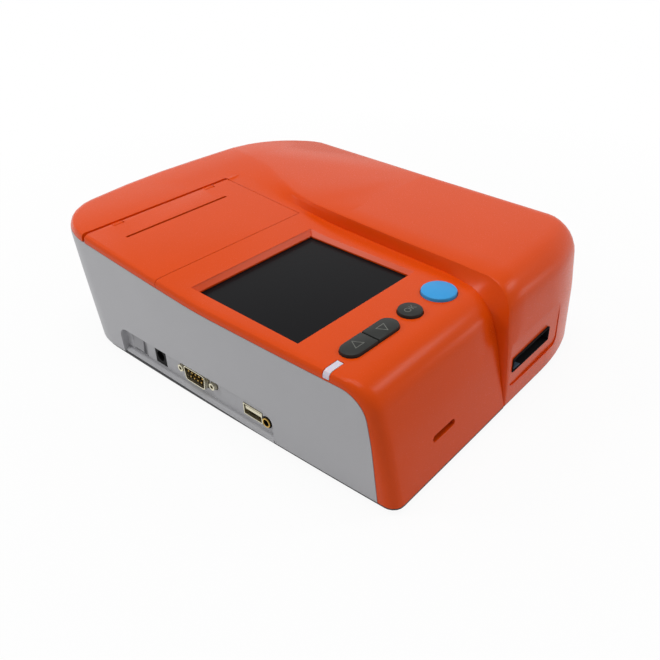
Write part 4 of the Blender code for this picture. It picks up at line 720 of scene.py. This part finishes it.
class ANALYZER_OT_printer(bpy.types.Operator):
    """Paper bay, platen roller, print head, gears and motor"""
    bl_idname = "analyzer.printer"
    bl_label = "Printer"

    def execute(self, context):
        steel = brushed_metal("printer_bright_steel", "#BDBDBB", 0.32, (0.1, 1.0, 1.0))
        nylon = moulded_plastic("natural_nylon", "#E6E3DA", 0.4)
        rubber = soft_rubber("platen_rubber", "#232323")
        refine("printer_frame", moulded_plastic("printer_black_abs", "#2A2A2A", 0.55), "case")
        refine("printer_motor", steel, "case")
        refine("print_head", steel, "case", bevel=head_edge, bm=flat_block(merged_copy("print_head")))
        self.heater(moulded_plastic("glazed_heater_line", "#3A2A22", 0.25))
        self.roller(rubber, steel)
        refine("platen_gear", nylon, "platen")
        refine("motor_gear", nylon, "pinion")
        refine("motor_shaft", steel, "pinion")
        return {"FINISHED"}

    def roller(self, rubber, steel):
        """Rubber platen on its steel shaft."""
        shaft_reach = 2.2 * MM
        roller = refine("platen_roller", rubber, "platen")
        low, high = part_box("platen_roller")
        axis = Vector((0, (low.y + high.y) / 2, (low.z + high.z) / 2))

        def on_shaft(face):
            return (Vector((0, face.center.y, face.center.z)) - axis).length < shaft_reach

        paint_faces(roller, steel, on_shaft)

    def heater(self, material):
        """Dark glazed line along the print head, where it meets the paper."""
        end_inset = 2 * MM
        half_height = 0.8 * MM
        proud, sunk = 0.12 * MM, 0.1 * MM
        rounding = 0.05 * MM
        low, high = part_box("print_head")
        level = (low.z + high.z) / 2
        line = box_piece((low.x + end_inset, low.y - proud, level - half_height),
                         (high.x - end_inset, low.y + sunk, level + half_height), rounding)
        finish_piece("heater_line", line, material, "case")


# Reader

def threaded_rod(material):
    """Lead screw with its thread, spun as a helix and cut square at both ends."""
    thread_depth = 0.5 * MM
    steps = 16
    spare_turns = 3
    low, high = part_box("lead_screw")
    middle = (low + high) / 2
    radius = (high.z - low.z) / 2
    lead = sizes().screw_lead
    root = radius - thread_depth
    turns = int((high.y - low.y) / lead) + spare_turns
    start = Vector((middle.x, low.y - lead, middle.z))
    bm = bmesh.new()
    # Shares of the lead with the radius at each: root, rising flank, crest and falling flank
    rows = ((0, root), (0.3, root), (0.5, radius), (0.8, radius), (1.0, root))
    verts = [bm.verts.new(start + BACK * lead * along + UP * size) for along, size in rows]
    edges = [bm.edges.new(pair) for pair in zip(verts, verts[1:])]
    bmesh.ops.spin(bm, geom=verts + edges, cent=start, axis=BACK, dvec=BACK * (lead / steps),
                   angle=2 * pi * turns, steps=steps * turns)
    bmesh.ops.remove_doubles(bm, verts=bm.verts, dist=merge_reach)
    for place, direction in ((low.y, -BACK), (high.y, BACK)):
        bmesh.ops.bisect_plane(bm, geom=bm.verts[:] + bm.edges[:] + bm.faces[:],
                               plane_co=Vector((0, place, 0)), plane_no=direction, clear_outer=True)
    rims = [edge for edge in bm.edges if edge.is_boundary]
    bmesh.ops.holes_fill(bm, edges=rims, sides=0)
    bmesh.ops.recalc_face_normals(bm, faces=bm.faces)
    finish_piece("fine_lead_screw", bm, material, "screw", ("lead_screw",), thread_crease)


def slot_liner(black, tray_colour):
    """Black liner of the cartridge slot, a dark shell that paints the shade inside the deep slot, cut to the
    slant of the front, with the tray's floor strip.
    """
    grow = 0.85 * MM
    before_front = -0.125
    front_inset = 3.3 * MM
    slant = Vector((-0.0295, 1, 0.0147)).normalized()
    strip_near, strip_far = 0.5 * MM, 3 * MM
    strip_length = 7 * MM
    strip_height = 0.3 * MM
    strip_rounding = 0.1 * MM
    wall = sizes().liner_wall
    (left, _, low), (right, back, high) = frame["record"]["physics"]["openings"][0]["box_m"]
    bm = box_piece((left - grow, before_front, low - grow / 2), (right + grow, back, high + grow / 2))
    face = Vector((left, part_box("top_cover")[0].y + front_inset, 0))
    bmesh.ops.bisect_plane(bm, geom=bm.verts[:] + bm.edges[:] + bm.faces[:], plane_co=face,
                           plane_no=-slant, clear_outer=True)
    ends = [end for end in bm.faces if abs(end.normal.y) > 0.9]
    bmesh.ops.delete(bm, geom=ends, context="FACES_ONLY")
    bmesh.ops.recalc_face_normals(bm, faces=bm.faces)
    piece = finish_piece("slot_liner", bm, black, "case")
    shell = piece.modifiers.new("wall", "SOLIDIFY")
    shell.thickness = wall
    shell.offset = -1
    floor = low - grow / 2 + wall
    strip = box_piece((left - grow + wall, face.y + strip_near, floor),
                      (left + strip_length, face.y + strip_far, floor + strip_height), strip_rounding)
    finish_piece("slot_floor", strip, tray_colour, "case")


class ANALYZER_OT_reader(bpy.types.Operator):
    """Reader frame, cartridge tray with its drive, and the optics head"""
    bl_idname = "analyzer.reader"
    bl_label = "Reader"

    def execute(self, context):
        steel = brushed_metal("ground_steel_rod", "#C9C9C7", 0.22, (1.0, 0.05, 1.0))
        black = moulded_plastic("reader_black_abs", "#121213", 0.7, specular=0.1)
        slate = moulded_plastic("slate_moulded_tray", finishes().tray, 0.45)
        refine("reader_frame", brushed_metal("milled_aluminium", "#C8C9CB", 0.35), "case")
        refine("cartridge_tray", slate, "tray")
        refine("guide_rod_left", steel, "case")
        refine("guide_rod_right", steel, "case")
        refine("tray_motor", black, "case")
        refine("optics_head", black, "case")
        threaded_rod(brushed_metal("rolled_steel_thread", "#B9B9B7", 0.3))
        slot_liner(black, slate)
        self.lens()
        return {"FINISHED"}

    def lens(self):
        """Domed lens at the foot of the optics barrel."""
        radius = 3.4 * MM
        seat = 0.2 * MM
        bulge = 0.9 * MM
        steps = 6
        low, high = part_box("optics_head")
        slot = frame["record"]["physics"]["openings"][0]["box_m"]
        place = Vector(((slot[0][0] + slot[1][0]) / 2, (low.y + high.y) / 2, low.z))
        turns = [step * pi / (2 * steps) for step in range(1, steps + 1)]
        dome = [(seat, 0), (seat, radius)]
        dome += [(-bulge * sin(turn), radius * cos(turn)) for turn in turns]
        finish_piece("objective_lens", turned(dome, place, UP), clear_glass("optical_glass", "#E8F0EE"),
                     "case")


# Stage

class ANALYZER_OT_stage(bpy.types.Operator):
    """Pale floor, soft lamps, white surround and the camera"""
    bl_idname = "analyzer.stage"
    bl_label = "Stage"

    def execute(self, context):
        stage = context.scene.analyzer_stage
        self.make_floor(context)
        self.make_world(context, stage)
        # Each lamp's name, place, width and power
        lamps = (("top_softbox", (-0.03, 0.0, 0.95), 0.6, stage.top_power),
                 ("rear_softbox", (-0.55, 0.57, 0.66), 0.26, stage.rear_power),
                 ("front_softbox", (0.57, -0.55, 0.66), 0.24, stage.front_power),
                 ("low_softbox", (0.62, -0.6, 0.13), 0.12, stage.low_power))
        for name, place, width, power in lamps:
            self.make_lamp(context, name, place, width, power)
        self.make_camera(context, stage)
        context.scene.view_settings.view_transform = "Standard"
        return {"FINISHED"}

    def white_rays(self, tree):
        """1 for rays from the camera, mirrors and glass, which see the white background."""
        rays = add_node(tree, "ShaderNodeLightPath")
        total = rays.outputs["Is Camera Ray"]
        for name in ("Is Glossy Ray", "Is Transmission Ray"):
            step = add_node(tree, "ShaderNodeMath", {"operation": "MAXIMUM"}, {0: total})
            tree.links.new(rays.outputs[name], step.inputs[1])
            total = step.outputs["Value"]
        return total

    def make_floor(self, context):
        """Wide paper floor: near white to the camera, and still darkened by the analyzer's shadow."""
        half_width = 6.0
        under_feet = 0.2 * MM
        bm = bmesh.new()
        bmesh.ops.create_grid(bm, x_segments=1, y_segments=1, size=half_width)
        bmesh.ops.translate(bm, vec=-UP * under_feet, verts=bm.verts)
        mesh = bpy.data.meshes.new("studio_floor")
        bm.to_mesh(mesh)
        bm.free()
        floor = bpy.data.objects.new("studio_floor", mesh)
        context.scene.collection.objects.link(floor)
        material, tree, shader, place = start_material("studio_paper")
        shader.inputs["Base Color"].default_value = linear("#F0F0F0")
        shader.inputs["Roughness"].default_value = 0.9
        shader.inputs["Specular IOR Level"].default_value = 0.0
        glow = add_node(tree, "ShaderNodeEmission", {"Color": (1, 1, 1, 1), "Strength": 1.0})
        reach = add_node(tree, "ShaderNodeVectorMath", {"operation": "LENGTH"}, {"Vector": place})
        fade = add_node(tree, "ShaderNodeMapRange",
                        {"From Min": 0.15, "From Max": 0.45, "To Min": 0.93, "To Max": 1.0},
                        {"Value": reach.outputs["Value"]})
        part = add_node(tree, "ShaderNodeMath", {"operation": "MULTIPLY"},
                        {0: self.white_rays(tree), 1: fade.outputs["Result"]})
        blend = add_node(tree, "ShaderNodeMixShader", {}, {"Fac": part.outputs["Value"]})
        tree.links.new(shader.outputs["BSDF"], blend.inputs[1])
        tree.links.new(glow.outputs["Emission"], blend.inputs[2])
        tree.links.new(blend.outputs["Shader"], tree.nodes["Material Output"].inputs["Surface"])
        mesh.materials.append(material)

    def make_world(self, context, stage):
        """Dim even light on the analyzer, and white wherever the camera or a mirror looks."""
        world = bpy.data.worlds.new("white_surround")
        context.scene.world = world
        world.use_nodes = True
        tree = world.node_tree
        soft = tree.nodes["Background"]
        soft.inputs["Color"].default_value = (1, 1, 1, 1)
        soft.inputs["Strength"].default_value = stage.surround
        white = add_node(tree, "ShaderNodeBackground", {"Color": (1, 1, 1, 1), "Strength": 1.0})
        blend = add_node(tree, "ShaderNodeMixShader", {}, {"Fac": self.white_rays(tree)})
        tree.links.new(soft.outputs["Background"], blend.inputs[1])
        tree.links.new(white.outputs["Background"], blend.inputs[2])
        tree.links.new(blend.outputs["Shader"], tree.nodes["World Output"].inputs["Surface"])

    def make_lamp(self, context, name, place, width, power):
        """A square softbox aimed at the middle of the analyzer."""
        lamp = bpy.data.lights.new(name, "AREA")
        lamp.shape = "RECTANGLE"
        lamp.size = width
        lamp.size_y = width
        lamp.energy = power
        item = bpy.data.objects.new(name, lamp)
        context.scene.collection.objects.link(item)
        item.location = place
        aim = Vector((0, 0, 0.04)) - Vector(place)
        item.rotation_euler = aim.to_track_quat("-Z", "Y").to_euler()

    def make_camera(self, context, stage):
        """The photograph's camera: its place, turn, lens and off-centre frame."""
        camera = bpy.data.cameras.new("photo_camera")
        camera.sensor_width = 36.0
        camera.lens = stage.focal_pixels / photo_size * camera.sensor_width
        camera.shift_x = (photo_size / 2 - stage.centre_pixels[0]) / photo_size
        camera.shift_y = (stage.centre_pixels[1] - photo_size / 2) / photo_size
        camera.clip_start = 0.01
        item = bpy.data.objects.new("photo_camera", camera)
        context.scene.collection.objects.link(item)
        turn, lift, roll = stage.camera_azimuth, stage.camera_elevation, stage.camera_roll
        back = Vector((sin(turn) * cos(lift), -cos(turn) * cos(lift), sin(lift)))
        right = UP.cross(back).normalized()
        up = back.cross(right)
        leaned = right * cos(roll) + up * sin(roll)
        raised = -right * sin(roll) + up * cos(roll)
        item.matrix_world = (Matrix.Translation(Vector(stage.camera_place))
                             @ Matrix((leaned, raised, back)).transposed().to_4x4())
        context.scene.camera = item


OPERATORS = (ANALYZER_OT_case, ANALYZER_OT_screen, ANALYZER_OT_keys, ANALYZER_OT_sockets,
             ANALYZER_OT_printer, ANALYZER_OT_reader, ANALYZER_OT_stage)


class ANALYZER_PT_panel(bpy.types.Panel):
    """Sizes, colours and steps of the analyzer"""
    bl_idname = "ANALYZER_PT_panel"
    bl_label = "Progesterone analyzer"
    bl_space_type = "VIEW_3D"
    bl_region_type = "UI"
    bl_category = "Analyzer"

    def draw(self, context):
        column = self.layout.column()
        scene = context.scene
        for group in (scene.analyzer_finishes, scene.analyzer_sizes, scene.analyzer_stage):
            for name in group.__annotations__:
                column.prop(group, name)
        for operator in OPERATORS:
            column.operator(operator.bl_idname)


CLASSES = (AnalyzerFinishes, AnalyzerSizes, AnalyzerStage, *OPERATORS, ANALYZER_PT_panel)


def register():
    for item in CLASSES:
        bpy.utils.register_class(item)
    bpy.types.Scene.analyzer_finishes = bpy.props.PointerProperty(type=AnalyzerFinishes)
    bpy.types.Scene.analyzer_sizes = bpy.props.PointerProperty(type=AnalyzerSizes)
    bpy.types.Scene.analyzer_stage = bpy.props.PointerProperty(type=AnalyzerStage)


def unregister():
    del bpy.types.Scene.analyzer_stage
    del bpy.types.Scene.analyzer_sizes
    del bpy.types.Scene.analyzer_finishes
    for item in reversed(CLASSES):
        bpy.utils.unregister_class(item)


def main():
    register()
    bpy.ops.analyzer.case()
    bpy.ops.analyzer.screen()
    bpy.ops.analyzer.keys()
    bpy.ops.analyzer.sockets()
    bpy.ops.analyzer.printer()
    bpy.ops.analyzer.reader()
    bpy.ops.analyzer.stage()


if __name__ == "__main__":
    main()
